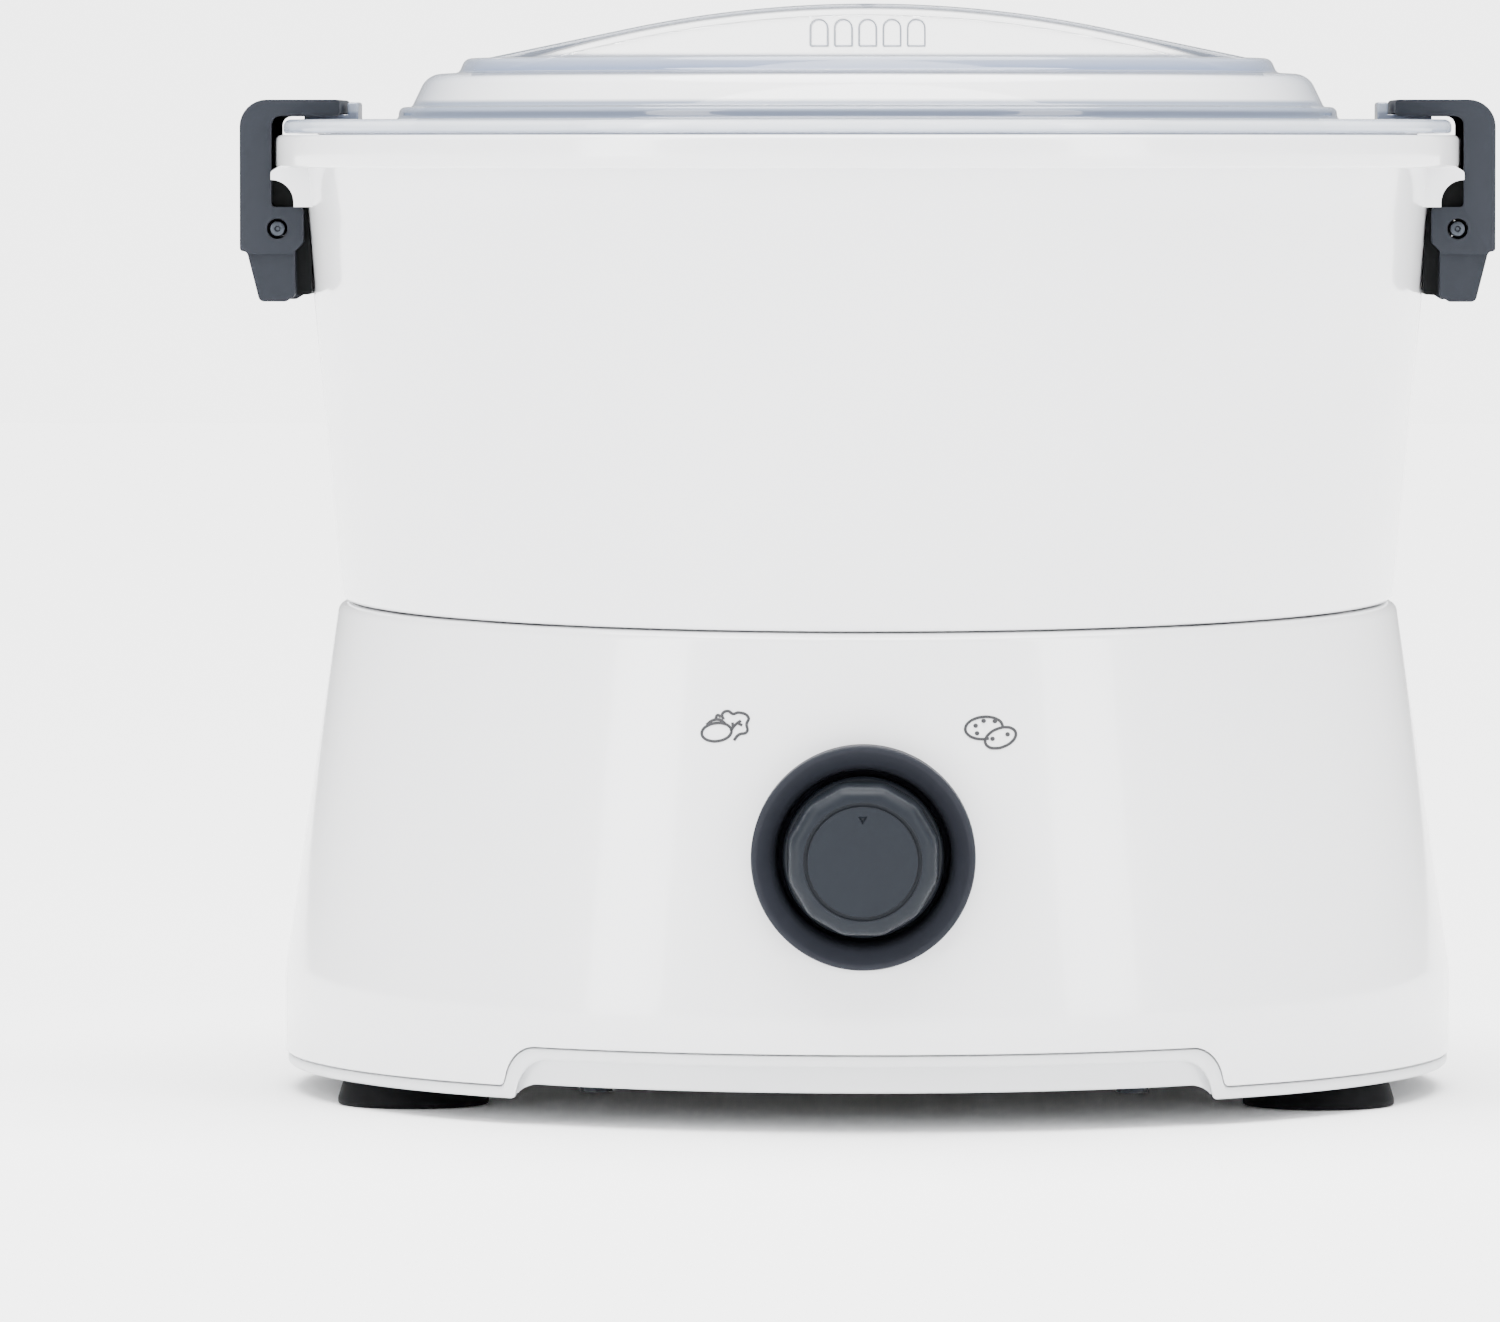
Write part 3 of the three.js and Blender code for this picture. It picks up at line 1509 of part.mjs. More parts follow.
const naturalNylon = finish(0xe6e2d6, 0.5);
const carbon = finish(0x2a2a2c, 0.8);

// Assembly

const machine = new THREE.Group();

function add(name, geometry, material, group = machine) {
  const mesh = new THREE.Mesh(geometry, material());
  mesh.name = name;
  group.add(mesh);
  return mesh;
}

function addAtCorners(name, geometry, material, places) {
  places.forEach(([x, y], i) => add(`${name}_${cornerNames[i]}`, geometry, material).position.set(x, y, 0));
}

add("base_housing", makeHousing(), whiteAbs);
add("bottom_cover", makeCover(), paleGrey);
addAtCorners("cover_screw", screw(coverPlateBottom, coverScrewLength), groundSteel, coverScrews);
addAtCorners("suction_foot", makeFoot(), blackRubber, feet);
add("cord_gland", makeGland(), blackRubber);
add("knob_bezel", makeBezel(), bezelGrey);
add("control_knob", makeKnob(), knobGrey);
add("rotary_switch", makeSwitch(), blackPlastic);
add("switch_nut", makeNut(), zincPlate);
add("switch_spindle", makeSpindle(), groundSteel);

add("gearbox_plate", makePlate(), zincPlate);
addAtCorners("plate_screw", screw(plateBottom, plateScrewLength), groundSteel, plateCorners);
add("lower_shaft_bearing", makeLowerBearing(), sinteredBronze);
add(
  "upper_shaft_bearing",
  ring(
    shaftRadius + fitGap,
    collarBore - fitGap,
    upperBearingTop - upperBearingHeight,
    upperBearingTop,
    shaftFacets,
  ),
  sinteredBronze,
);
add(
  "shaft_seal",
  ring(shaftRadius + fitGap, collarBore - fitGap, collarTop - sealHeight, collarTop, shaftFacets),
  blackRubber,
);
add("idler_axle", makeIdlerAxle(), groundSteel);
add("drive_shaft", makeDriveShaft(), groundSteel);
add("drive_gear", makeDriveGear(), naturalNylon);
add("drive_dog", makeDog(), blackPlastic);
add("shaft_clip", makeShaftClip(), groundSteel);
add("idler_gear", makeIdlerGear(), naturalNylon);

const motor = new THREE.Group();
motor.position.set(motorX, motorY, 0);
machine.add(motor);
for (const [name, [geometry, material]] of Object.entries(motorPieces())) {
  add(name, geometry, material, motor);
}

add("bowl", makeBowl(), whiteAbs);
add("lid", makeLid(), clearLid);
add("peeling_disc", makeDisc(), abrasiveGrit);
add("disc_hub", makeHub(), bezelGrey);
atHubScrews(() => screw(discBottom, hubScrewLength)).forEach((shape, i) => {
  add(`disc_screw_${i + 1}`, shape, groundSteel);
});

const [rightBracket, leftBracket] = bothSides(makeBracket);
const [rightPin, leftPin] = bothSides(() => pinBar(pinRadius, clipHalf - pinEndGap));
const [rightClip, leftClip] = bothSides(makeClip);
add("right_clip_bracket", rightBracket, blackPlastic);
add("left_clip_bracket", leftBracket, blackPlastic);
add("right_clip_pin", rightPin, groundSteel);
add("left_clip_pin", leftPin, groundSteel);
add("right_clip", rightClip, clipGrey);
add("left_clip", leftClip, clipGrey);

// The origin lies under the middle of the whole machine, so the knob's extra reach moves it back.
machine.position.y = (knobFront - glandFace) / 2;

export default machine;
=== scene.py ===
# %% [markdown]
# # An electric potato peeler, dressed for its portrait
# The machine is a white flared base with a geared motor and a grey knob, a white bowl that lifts off it, and a
# clear lid that two grey rocker clips hold down. The engineering solids come in first as a fixed frame. They
# are coarse, so each piece that the eye rests on is remade here with smooth curves, in the same place and size.

# %% Load the frame
import math

import bmesh
import bpy
from mathutils import Matrix, Vector


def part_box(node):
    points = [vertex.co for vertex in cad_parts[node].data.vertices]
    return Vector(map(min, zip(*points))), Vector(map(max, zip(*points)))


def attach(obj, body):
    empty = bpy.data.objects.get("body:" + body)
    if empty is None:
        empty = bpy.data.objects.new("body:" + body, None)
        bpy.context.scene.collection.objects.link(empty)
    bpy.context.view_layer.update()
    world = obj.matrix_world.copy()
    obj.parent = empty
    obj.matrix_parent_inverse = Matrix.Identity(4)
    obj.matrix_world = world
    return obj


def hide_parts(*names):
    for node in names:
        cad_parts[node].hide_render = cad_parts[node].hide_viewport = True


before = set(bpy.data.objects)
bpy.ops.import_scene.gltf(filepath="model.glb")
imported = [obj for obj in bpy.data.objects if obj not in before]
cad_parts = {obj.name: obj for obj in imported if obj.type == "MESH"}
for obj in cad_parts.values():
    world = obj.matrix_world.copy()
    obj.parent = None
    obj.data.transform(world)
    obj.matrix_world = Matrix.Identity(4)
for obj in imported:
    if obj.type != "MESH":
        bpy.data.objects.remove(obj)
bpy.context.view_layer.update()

MM = 0.001

# %% [markdown]
# Everything round stands on one axis. The knob sticks out in front further than anything does at the back, so
# the axis of the bowl isn't quite at the middle of the whole machine. The frame knows where it is.

# %% Find the axis
bowl_low, bowl_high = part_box("bowl")
AXIS_Y = (bowl_low[1] + bowl_high[1]) / 2
print("the bowl's axis is at y =", round(AXIS_Y / MM, 2), "mm")

# %% [markdown]
# ## The camera
# The photograph was taken from about two and a half metres with a long lens, a little above the bowl's rim: the
# seam above the base bends down into a shallow curve, while the rim is almost a straight line. The picture is
# 1500 by 1322 pixels, and the machine stands right of its middle.

# %% Camera
PICTURE_WIDTH = 1500
MM_PER_PIXEL = 0.2228
CAMERA_DISTANCE = 2500
CAMERA_RIGHT = 17
CAMERA_HEIGHT = 209
AIM_LEFT = 26.2
AIM_HEIGHT = 94.4
SENSOR_WIDTH = 36
SIGHT_LIMIT = 20


def in_scene(name, data):
    made = bpy.data.objects.new(name, data)
    bpy.context.scene.collection.objects.link(made)
    return made


camera_data = bpy.data.cameras.new("camera")
camera_data.sensor_width = SENSOR_WIDTH
camera_data.lens = SENSOR_WIDTH * CAMERA_DISTANCE / (MM_PER_PIXEL * PICTURE_WIDTH)
camera_data.clip_end = SIGHT_LIMIT
camera = in_scene("camera", camera_data)
camera.location = (CAMERA_RIGHT * MM, AXIS_Y - CAMERA_DISTANCE * MM, CAMERA_HEIGHT * MM)
aim = Vector((-AIM_LEFT * MM, AXIS_Y, AIM_HEIGHT * MM))
camera.rotation_euler = (aim - camera.location).to_track_quat("-Z", "Y").to_euler()
bpy.context.scene.camera = camera
print("lens:", round(camera_data.lens), "mm")

# %% [markdown]
# ## Tools for shapes
# Nearly every piece is a body of revolution, as moulded kitchenware is. A profile is drawn as a loop of
# straight edges, its corners are rounded with the bevel operator, and the spin operator turns it round.
# A corner is written as radius, height and, where it is rounded, the radius of that rounding.

# %% Round the corners of a loop
# How much of an edge one rounding may take, where the edge's other end is rounded too and where it isn't.
SHARED_ROOM = 0.49
FREE_ROOM = 0.98
MOST_STEPS = 8
WELD = 1e-6


def loop_of(corners, y=0):
    """A closed loop of edges in the plane at y, from corners of (across, height, rounding) in mm."""
    points = [((x * MM, y * MM, z * MM), (rounding or [0])[0] * MM) for x, z, *rounding in corners]
    shape = bmesh.new()
    verts = [shape.verts.new(position) for position, rounding in points]
    for start, end in zip(verts, verts[1:] + verts[:1]):
        shape.edges.new((start, end))
    count = len(points)
    for i, (position, rounding) in enumerate(points):
        if not rounding:
            continue
        here = Vector(position)
        before = Vector(points[i - 1][0]) - here
        after = Vector(points[(i + 1) % count][0]) - here
        half = before.angle(after) / 2
        room = [SHARED_ROOM if points[j % count][1] else FREE_ROOM for j in (i - 1, i + 1)]
        reach = min(rounding / math.tan(half), room[0] * before.length, room[1] * after.length)
        steps = max(2, round((math.pi - 2 * half) * math.sqrt(rounding / MM) * 2))
        bmesh.ops.bevel(
            shape, geom=[verts[i]], offset=reach, offset_type="OFFSET",
            segments=min(steps, MOST_STEPS), profile=0.5, affect="VERTICES", material=-1,
        )
    return shape


# %% Turn a profile round the axis
AROUND = 240


def turned(corners, steps=AROUND):
    shape = loop_of(corners)
    bmesh.ops.spin(
        shape, geom=shape.verts[:] + shape.edges[:], cent=(0, 0, 0), axis=(0, 0, 1), dvec=(0, 0, 0),
        angle=math.tau, steps=steps, use_merge=True, use_duplicate=False,
    )
    bmesh.ops.remove_doubles(shape, verts=shape.verts, dist=WELD)
    bmesh.ops.recalc_face_normals(shape, faces=shape.faces)
    return shape


# %% Carry an outline along a straight line
def carried(corners, near, far):
    """An outline of (x, z, rounding) corners, carried along Y from near to far."""
    shape = loop_of(corners, near)
    face = bmesh.ops.contextual_create(shape, geom=shape.edges[:])["faces"]
    grown = bmesh.ops.extrude_face_region(shape, geom=face)["geom"]
    moved = [item for item in grown if isinstance(item, bmesh.types.BMVert)]
    bmesh.ops.translate(shape, verts=moved, vec=(0, (far - near) * MM, 0))
    bmesh.ops.recalc_face_normals(shape, faces=shape.faces)
    return shape


def rounded_rims(shape, width, angle=40, steps=3, below=181):
    """Breaks the edges of a shape whose faces meet at between two angles, as a mould does."""
    sharp = [edge for edge in shape.edges if angle < math.degrees(edge.calc_face_angle(0)) < below]
    bmesh.ops.bevel(
        shape, geom=sharp, offset=width * MM, offset_type="OFFSET", segments=steps, profile=0.5,
        affect="EDGES", clamp_overlap=True, material=-1,
    )
    return shape


# %% [markdown]
# Holes and pockets are cut with the Boolean modifier, and its result is kept as the piece's mesh. The cutter
# is a passing object that is thrown away. Pieces are finished by shading them smooth except at real edges.

# %% Cut, join and finish
def mesh_of(shape, name="passing"):
    mesh = bpy.data.meshes.new(name)
    shape.to_mesh(mesh)
    shape.free()
    return mesh


def combined(shape, others, operation):
    body, *tools = [in_scene("passing", mesh_of(each)) for each in (shape, *others)]
    for tool in tools:
        modifier = body.modifiers.new("combine", "BOOLEAN")
        modifier.operation = operation
        modifier.solver = "EXACT"
        modifier.object = tool
    evaluated = body.evaluated_get(bpy.context.evaluated_depsgraph_get())
    result = bmesh.new()
    result.from_mesh(evaluated.to_mesh())
    evaluated.to_mesh_clear()
    for passing in [body, *tools]:
        mesh = passing.data
        bpy.data.objects.remove(passing)
        bpy.data.meshes.remove(mesh)
    bmesh.ops.remove_doubles(result, verts=result.verts, dist=WELD)
    return result


def cut(shape, *others):
    return combined(shape, others, "DIFFERENCE")


def joined(shape, *others):
    return combined(shape, others, "UNION")


def together(shape, *others):
    """Lays closed shapes in one mesh without welding them."""
    for other in others:
        mesh = mesh_of(other)
        shape.from_mesh(mesh)
        bpy.data.meshes.remove(mesh)
    return shape


def placed(shape, matrix):
    bmesh.ops.transform(shape, matrix=matrix, verts=shape.verts)
    return shape


def shifted(shape, x=0, y=0, z=0):
    return placed(shape, Matrix.Translation((x * MM, y * MM, z * MM)))


def turned_by(shape, degrees, axis="Z"):
    return placed(shape, Matrix.Rotation(math.radians(degrees), 4, axis))


def all_round(make, count, first=0):
    """Shapes evenly spaced round the axis, from an angle in degrees on."""
    return [turned_by(make(), first + 360 * i / count) for i in range(count)]


def post(radius, low, high, steps=64, top=None):
    """A round bar on the Z axis; top is its upper radius where it tapers."""
    shape = bmesh.new()
    bmesh.ops.create_cone(
        shape, cap_ends=True, segments=steps, radius1=radius * MM,
        radius2=(radius if top is None else top) * MM, depth=(high - low) * MM,
    )
    return shifted(shape, z=(low + high) / 2)


def block(x0, x1, y0, y1, z0, z1):
    shape = bmesh.new()
    bmesh.ops.create_cube(shape, size=1)
    placed(shape, Matrix.Diagonal(((x1 - x0) * MM, (y1 - y0) * MM, (z1 - z0) * MM, 1)))
    return shifted(shape, (x0 + x1) / 2, (y0 + y1) / 2, (z0 + z1) / 2)


def piece(name, shape, body, material, slot, *nodes, smooth=30):
    """Makes the finished object: on the machine's axis, riding its body, in place of the solids it stands for."""
    mesh = mesh_of(placed(shape, Matrix.Translation((0, AXIS_Y, 0))), name)
    mesh.shade_smooth()
    mesh.set_sharp_from_angle(angle=math.radians(smooth))
    made = in_scene(name, mesh)
    mesh.materials.append(material)
    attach(made, body)
    if nodes:
        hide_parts(*nodes)
    mesh.calc_loop_triangles()
    print(name, len(mesh.loop_triangles), "triangles")
    return made


# %% [markdown]
# ## Tools for finishes
# Colours are written as they are read off a colour card, in sRGB, and turned to the linear values that the
# renderer works in. One small function adds a node with its settings and links.

# %% Colours and nodes
def linear(code):
    parts = [int(code[i:i + 2], 16) / 255 for i in (1, 3, 5)]
    return tuple(p / 12.92 if p <= 0.04045 else ((p + 0.055) / 1.055) ** 2.4 for p in parts) + (1,)


def add(tree, kind, inputs=None, **settings):
    """Adds a shader node. An input is a value, an output that feeds it, or a node, for its first output in use."""
    made = tree.nodes.new("ShaderNode" + kind)
    for key, value in settings.items():
        setattr(made, key, value)
    for socket, value in (inputs or {}).items():
        if isinstance(value, bpy.types.Node):
            value = next(output for output in value.outputs if output.enabled)
        if isinstance(value, bpy.types.NodeSocket):
            tree.links.new(value, made.inputs[socket])
        else:
            made.inputs[socket].default_value = value
    return made


def new_material(name, colour):
    material = bpy.data.materials.new(name)
    material.use_nodes = True
    material.diffuse_color = linear(colour)
    material.node_tree.nodes.clear()
    return material, material.node_tree


# %% [markdown]
# A moulded plastic is never one flat tone. Its skin copies the steel of the mould, polished or spark-eroded to a
# fine grain, and the flow of the melt leaves a slow, faint variation. So each moulding has a slow noise in its
# colour and roughness, tens of millimetres across, and a fine one in its relief.

# %% A finish with grain
def grained(name, tones, tone_grain, relief_grain, roughness, sockets, spread=None, stretch=None, card=None):
    """One noise mixes two tones and another raises the relief. A grain is a size in mm, a detail and, for the
    relief, a height in mm. spread is the range of the roughness, as shares of it."""
    material, tree = new_material(name, card or tones[0])
    place = add(tree, "TexCoord").outputs["Object"]
    if stretch:
        place = add(tree, "Mapping", {"Vector": place, "Scale": stretch})
    tone, relief = [
        add(tree, "TexNoise", {"Vector": place, "Scale": 1 / (grain[0] * MM), "Detail": grain[1]})
        for grain in (tone_grain, relief_grain)
    ]
    tint = add(tree, "Mix", {"Factor": tone, "A": linear(tones[0]), "B": linear(tones[1])}, data_type="RGBA")
    bump = add(tree, "Bump", {"Height": relief, "Strength": 1.0, "Distance": relief_grain[2] * MM})
    if spread:
        least, most = [roughness * share for share in spread]
        roughness = add(tree, "MapRange", {"Value": tone, "To Min": least, "To Max": most})
    surface = add(tree, "BsdfPrincipled", {"Base Color": tint, "Roughness": roughness, "Normal": bump, **sockets})
    add(tree, "OutputMaterial", {"Surface": surface})
    return material


# %% Moulded plastics
def moulding(name, colour, deeper, roughness, grain, relief, coat=0.0, flow=45, sheen=0.5):
    """grain and flow are the sizes of the fine and the slow pattern in mm, relief the grain's height in mm and
    sheen how strongly the skin mirrors, 0.5 for a plain one."""
    return grained(name, (colour, deeper), (flow, 2), (grain, 3, relief), roughness, {
        "IOR": 1.53, "Specular IOR Level": sheen, "Coat Weight": coat, "Coat Roughness": 0.06,
    }, spread=(0.9, 1.15))


# White ABS from a polished mould: high gloss, with the faint orange peel of a thick moulding.
WHITE_ABS = moulding("glossy_white_abs", "#EFEFF1", "#E9EAEC", 0.17, 9, 0.004, coat=0.5)
# The same grade in pale grey from a plainer tool, for the cover underneath.
PALE_ABS = moulding("satin_pale_grey_abs", "#DCDDDF", "#D2D4D6", 0.38, 1.2, 0.006)
# Blue-grey ABS from a spark-eroded mould: a soft sheen that hides finger marks.
CLIP_GREY = moulding("eroded_slate_abs", "#25282E", "#202329", 0.5, 0.7, 0.012, sheen=0.12)
KNOB_GREY = moulding("eroded_knob_abs", "#1A1E24", "#171A1F", 0.42, 0.7, 0.012, sheen=0.12)
BEZEL_GREY = moulding("eroded_bezel_abs", "#22242B", "#1D1F25", 0.5, 0.7, 0.012, sheen=0.12)
# Charcoal ABS for the clip brackets, nearly black and with little shine: partly its own dark colour, partly painted
# shade for the shadow between the clips and the bowl.
BRACKET_GREY_AND_PAINTED_SHADE = moulding("eroded_charcoal_abs_and_painted_shade", "#0B0D0E", "#090A0B", 0.5, 0.7, 0.012, sheen=0.06)
BLACK_PP = moulding("black_polypropylene", "#1D1F22", "#24262A", 0.5, 0.9, 0.01)
NATURAL_NYLON = moulding("natural_nylon", "#E9E4D6", "#DED8C6", 0.48, 1.5, 0.006)
PRINT_INK = moulding("pad_printed_ink", "#1B1C1F", "#26272B", 0.55, 0.5, 0.002, flow=6)


# %% [markdown]
# Rubber scatters light with almost no shine and keeps a bloom of dust in its grain. Metals show how they were
# made: a ground shaft has rings too fine to see one by one, laminations show as stacked sheets, wound copper
# as turns of wire, and sintered bronze as an oily powder.

# %% Rubber
RUBBER = grained(
    "matte_black_rubber", ("#09090A", "#121315"), (7, 5), (0.6, 2, 0.02), 0.6,
    {"IOR": 1.52, "Specular IOR Level": 0.05}, card="#141416",
)


# %% Metals
def metal(name, colour, worn, roughness, line, relief, stretch=None):
    """line is the width of the machining marks in mm; stretch squeezes them along X, Y and Z."""
    marks = (line, 4, relief)
    return grained(name, (colour, worn), marks, marks, roughness, {"Metallic": 1.0}, (0.8, 1.2), stretch)


GROUND_STEEL = metal("ground_steel", "#BFC2C6", "#A9ADB2", 0.28, 0.5, 0.004, (0.2, 0.2, 1))
# The pins of the clips have a dull grey conversion coat, so they hardly stand out from the plastic round them.
RIVET_STEEL = metal("phosphated_steel", "#4A4E55", "#3C4046", 0.5, 0.8, 0.006)
BLACKED_STEEL = metal("blacked_steel", "#26282B", "#1C1E21", 0.5, 0.8, 0.004)
ZINC_STEEL = metal("zinc_plated_steel", "#B2B6B9", "#9EA4A8", 0.42, 3, 0.003)
LAMINATED_STEEL = metal("stacked_lamination_steel", "#83868B", "#5F6266", 0.5, 0.5, 0.05, (0.02, 0.02, 1))
SINTERED_BRONZE = metal("sintered_bronze", "#9C7D50", "#7E6440", 0.5, 0.4, 0.02)
TURNED_BRASS = metal("turned_brass", "#C9A661", "#B08E4E", 0.34, 0.5, 0.004, (0.1, 0.1, 1))
WOUND_COPPER = metal("wound_copper", "#B0693B", "#7C4526", 0.36, 0.6, 0.08, (0.05, 0.05, 1))
# Brush carbon is pressed graphite: nearly black, with a slight metallic lustre.
PRESSED_CARBON = metal("pressed_carbon", "#343436", "#262628", 0.6, 0.8, 0.01)


# %% [markdown]
# The grit of the peeling disc is corundum bonded in resin, grains of about a millimetre. A cell pattern makes
# the grains, each with its own tone, and raises them.

# %% Abrasive coat
def bonded_grit():
    material, tree = new_material("bonded_corundum_grit", "#4B4744")
    place = add(tree, "TexCoord").outputs["Object"]
    cells = add(tree, "TexVoronoi", {"Vector": place, "Scale": 1 / (1.3 * MM)})
    tint = add(tree, "Mix", {
        "Factor": cells.outputs["Color"], "A": linear("#383431"), "B": linear("#6B645C"),
    }, data_type="RGBA")
    bump = add(tree, "Bump", {"Height": cells.outputs["Distance"], "Distance": 0.5 * MM}, invert=True)
    grit = add(tree, "BsdfPrincipled", {"Base Color": tint, "Roughness": 0.85, "IOR": 1.76, "Normal": bump})
    add(tree, "OutputMaterial", {"Surface": grit})
    return material


GRIT = bonded_grit()


# %% [markdown]
# The lid is clear styrene-acrylonitrile, the usual plastic for lids that have to stay bright. A wall of it is
# nearly invisible when it is looked at squarely. Where the eye runs along it, a blue-grey colour is painted on
# as a painted reflection, and Layer Weight tells the two apart. Where a wall stands on edge, as round the steps,
# a ramp over the height paints bands on it: painted reflections in dark blue-grey and painted highlights in
# white, which hide what is behind. Along the top of the grip a dark line is painted as a reflection. The normal
# keeps these off the level faces, which stay clear.

# %% Clear plastic
# Heights in mm, colours and how much each hides: painted reflections in blue-grey, painted highlights in white.
LID_PAINTED_BANDS = (
    (211.9, "#7C879C", 0.9), (212.8, "#CDD4DF", 0.8), (214.2, "#E6EAF0", 0.8), (215.0, "#626B7D", 0.95),
    (216.4, "#6A7284", 0.95), (217.0, "#8F98A8", 0.9), (218.6, "#8B94A4", 0.9), (219.4, "#FFFFFF", 0.95),
    (224.4, "#FDFDFF", 0.95), (224.9, "#55617F", 0.95), (226.2, "#7C88A3", 0.9), (227.8, "#98A0B2", 0.88),
    (229.0, "#A9B0BE", 0.85), (230.0, "#FAFCFE", 0.1),
)
LEVEL_FACE = "#FAFCFE"
# Painted reflection: a blue-grey colour laid on where a wall is seen at a grazing angle.
GRAZING_PAINTED_REFLECTION = "#5F6E86"
# Painted reflection: a dark line along the top rim of the grip.
GRIP_RIM_PAINTED_REFLECTION = "#59616F"
STEEP_POWER = 2.6
LEVEL_FROM = 0.88
LEVEL_SOFTNESS = 0.08
RIDGE_TOP = 240.7
RIDGE_ARC = 258
RIDGE_HALF_WIDTH = 11
RIDGE_HALF_LENGTH = 89.9
RIM_MARGIN = 0.4
RIM_DEPTH = 1.0
RIM_SOFTNESS = 0.2
RIM_HIDING = 0.8


def make_clear_san_with_painted_reflections():
    material, tree = new_material("clear_san_with_painted_reflections", "#EEF3F6")
    coordinates = add(tree, "TexCoord").outputs
    place = coordinates["Object"]
    wave = add(tree, "TexNoise", {"Vector": place, "Scale": 1 / (40 * MM), "Detail": 1})
    bump = add(tree, "Bump", {"Height": wave, "Distance": 0.05 * MM})
    facing = add(tree, "LayerWeight", {"Blend": 0.5, "Normal": bump}).outputs["Facing"]
    # How far a wall is seen at a grazing angle, which is where the painted blue-grey reflection goes.
    steep = add(tree, "Math", {0: facing, 1: STEEP_POWER}, operation="POWER")

    # The painted reflection and highlight bands over the height, on the walls that stand on edge.
    low, high = LID_PAINTED_BANDS[0][0], LID_PAINTED_BANDS[-1][0]
    height = add(tree, "SeparateXYZ", {"Vector": place}).outputs["Z"]
    level = add(tree, "MapRange", {"Value": height, "From Min": low * MM, "From Max": high * MM})
    painted_bands = add(tree, "ValToRGB", {"Fac": level})
    stops = painted_bands.color_ramp.elements
    while len(stops) < len(LID_PAINTED_BANDS):
        stops.new(1)
    for stop, (band_height, colour, share) in zip(stops, LID_PAINTED_BANDS):
        stop.position = (band_height - low) / (high - low)
        stop.color = linear(colour)[:3] + (share,)
    normal = add(tree, "VectorMath", {0: coordinates["Normal"]}, operation="ABSOLUTE")
    on_edge = add(tree, "MapRange", {
        "Value": add(tree, "SeparateXYZ", {"Vector": normal}).outputs["Z"],
        "From Min": LEVEL_FROM - LEVEL_SOFTNESS, "From Max": LEVEL_FROM + LEVEL_SOFTNESS, "To Min": 1, "To Max": 0,
    })

    # The painted dark reflection along the rim of the grip: within its length and width, and near the top of its arc.
    half_length, half_width = (RIDGE_HALF_LENGTH + RIM_MARGIN) * MM, (RIDGE_HALF_WIDTH + RIM_MARGIN) * MM
    shares = add(tree, "Mapping", {
        "Vector": place, "Location": (0, -AXIS_Y / half_width, 0), "Scale": (1 / half_length, 1 / half_width, 0),
    })
    outward = add(tree, "VectorMath", {0: shares}, operation="ABSOLUTE")
    along, across = add(tree, "SeparateXYZ", {"Vector": outward}).outputs[:2]
    farthest = add(tree, "Math", {0: along, 1: across}, operation="MAXIMUM")
    on_grip = add(tree, "Math", {0: farthest, 1: 1.0}, operation="LESS_THAN")
    from_centre = add(tree, "Mapping", {
        "Vector": place, "Location": (0, 0, (RIDGE_ARC - RIDGE_TOP) * MM), "Scale": (1, 0, 1),
    })
    rim_start = RIDGE_ARC - RIM_DEPTH
    at_top = add(tree, "MapRange", {
        "Value": add(tree, "VectorMath", {0: from_centre}, operation="LENGTH"),
        "From Min": (rim_start - RIM_SOFTNESS) * MM, "From Max": (rim_start + RIM_SOFTNESS) * MM,
    })
    # The mask of the painted dark reflection along the grip's rim.
    rim = add(tree, "Math", {0: at_top, 1: on_grip}, operation="MULTIPLY")

    # How much each place hides, and its tint: the painted bands, the painted rim line and the painted grazing
    # reflection.
    rim_hides = add(tree, "Math", {0: rim, 1: RIM_HIDING}, operation="MULTIPLY")
    most = add(tree, "Math", {0: painted_bands.outputs["Alpha"], 1: rim_hides}, operation="MAXIMUM")
    hiding = add(tree, "Math", {0: most, 1: on_edge}, operation="MULTIPLY")
    tint = linear(LEVEL_FACE)
    for share, colour in (
        (on_edge, painted_bands.outputs["Color"]), (rim, linear(GRIP_RIM_PAINTED_REFLECTION)), (steep, linear(GRAZING_PAINTED_REFLECTION)),
    ):
        tint = add(tree, "Mix", {"Factor": share, "A": tint, "B": colour}, data_type="RGBA")
    # Towards a grazing angle the lid turns opaque and less clear, so that the painted reflection shows.
    body, clear = [
        add(tree, "MapRange", {"Value": steep, "To Min": facing_us, "To Max": edge_on})
        for facing_us, edge_on in ((0.1, 0.95), (1.0, 0.2))
    ]
    plastic = add(tree, "BsdfPrincipled", {
        "Base Color": tint,
        "Roughness": 0.04,
        "IOR": 1.5,
        "Transmission Weight": add(tree, "Math", {0: clear, 1: hiding}, operation="SUBTRACT"),
        "Alpha": add(tree, "Math", {0: body, 1: hiding}, operation="MAXIMUM"),
        "Normal": bump,
    })
    add(tree, "OutputMaterial", {"Surface": plastic})
    return material


# The clear lid's finish, with its painted reflections and highlights.
CLEAR_WITH_PAINTED_REFLECTIONS = make_clear_san_with_painted_reflections()
# The walls of the finger slots are frosted, and their blue-grey colour is a painted reflection, like the bands on the
# lid's edge-on walls.
FROSTED_WITH_PAINTED_REFLECTION = grained(
    "frosted_san_with_painted_reflection", ("#838B9A", "#9AA1AE"), (0.5, 2), (0.5, 2, 0.02), 0.5,
    {"IOR": 1.5, "Alpha": 0.75}, card="#8B93A2",
)

# %% [markdown]
# ## The base
# One white moulding: a skirt that stands upright at the foot and then leans in to a waist, a step inside the
# seam that centres the bowl, and a collar round the drive shaft. The lower edge is raised in a low arch at
# the front and at the back. The arch is made after the spin, by lifting the bottom rows of the skirt.

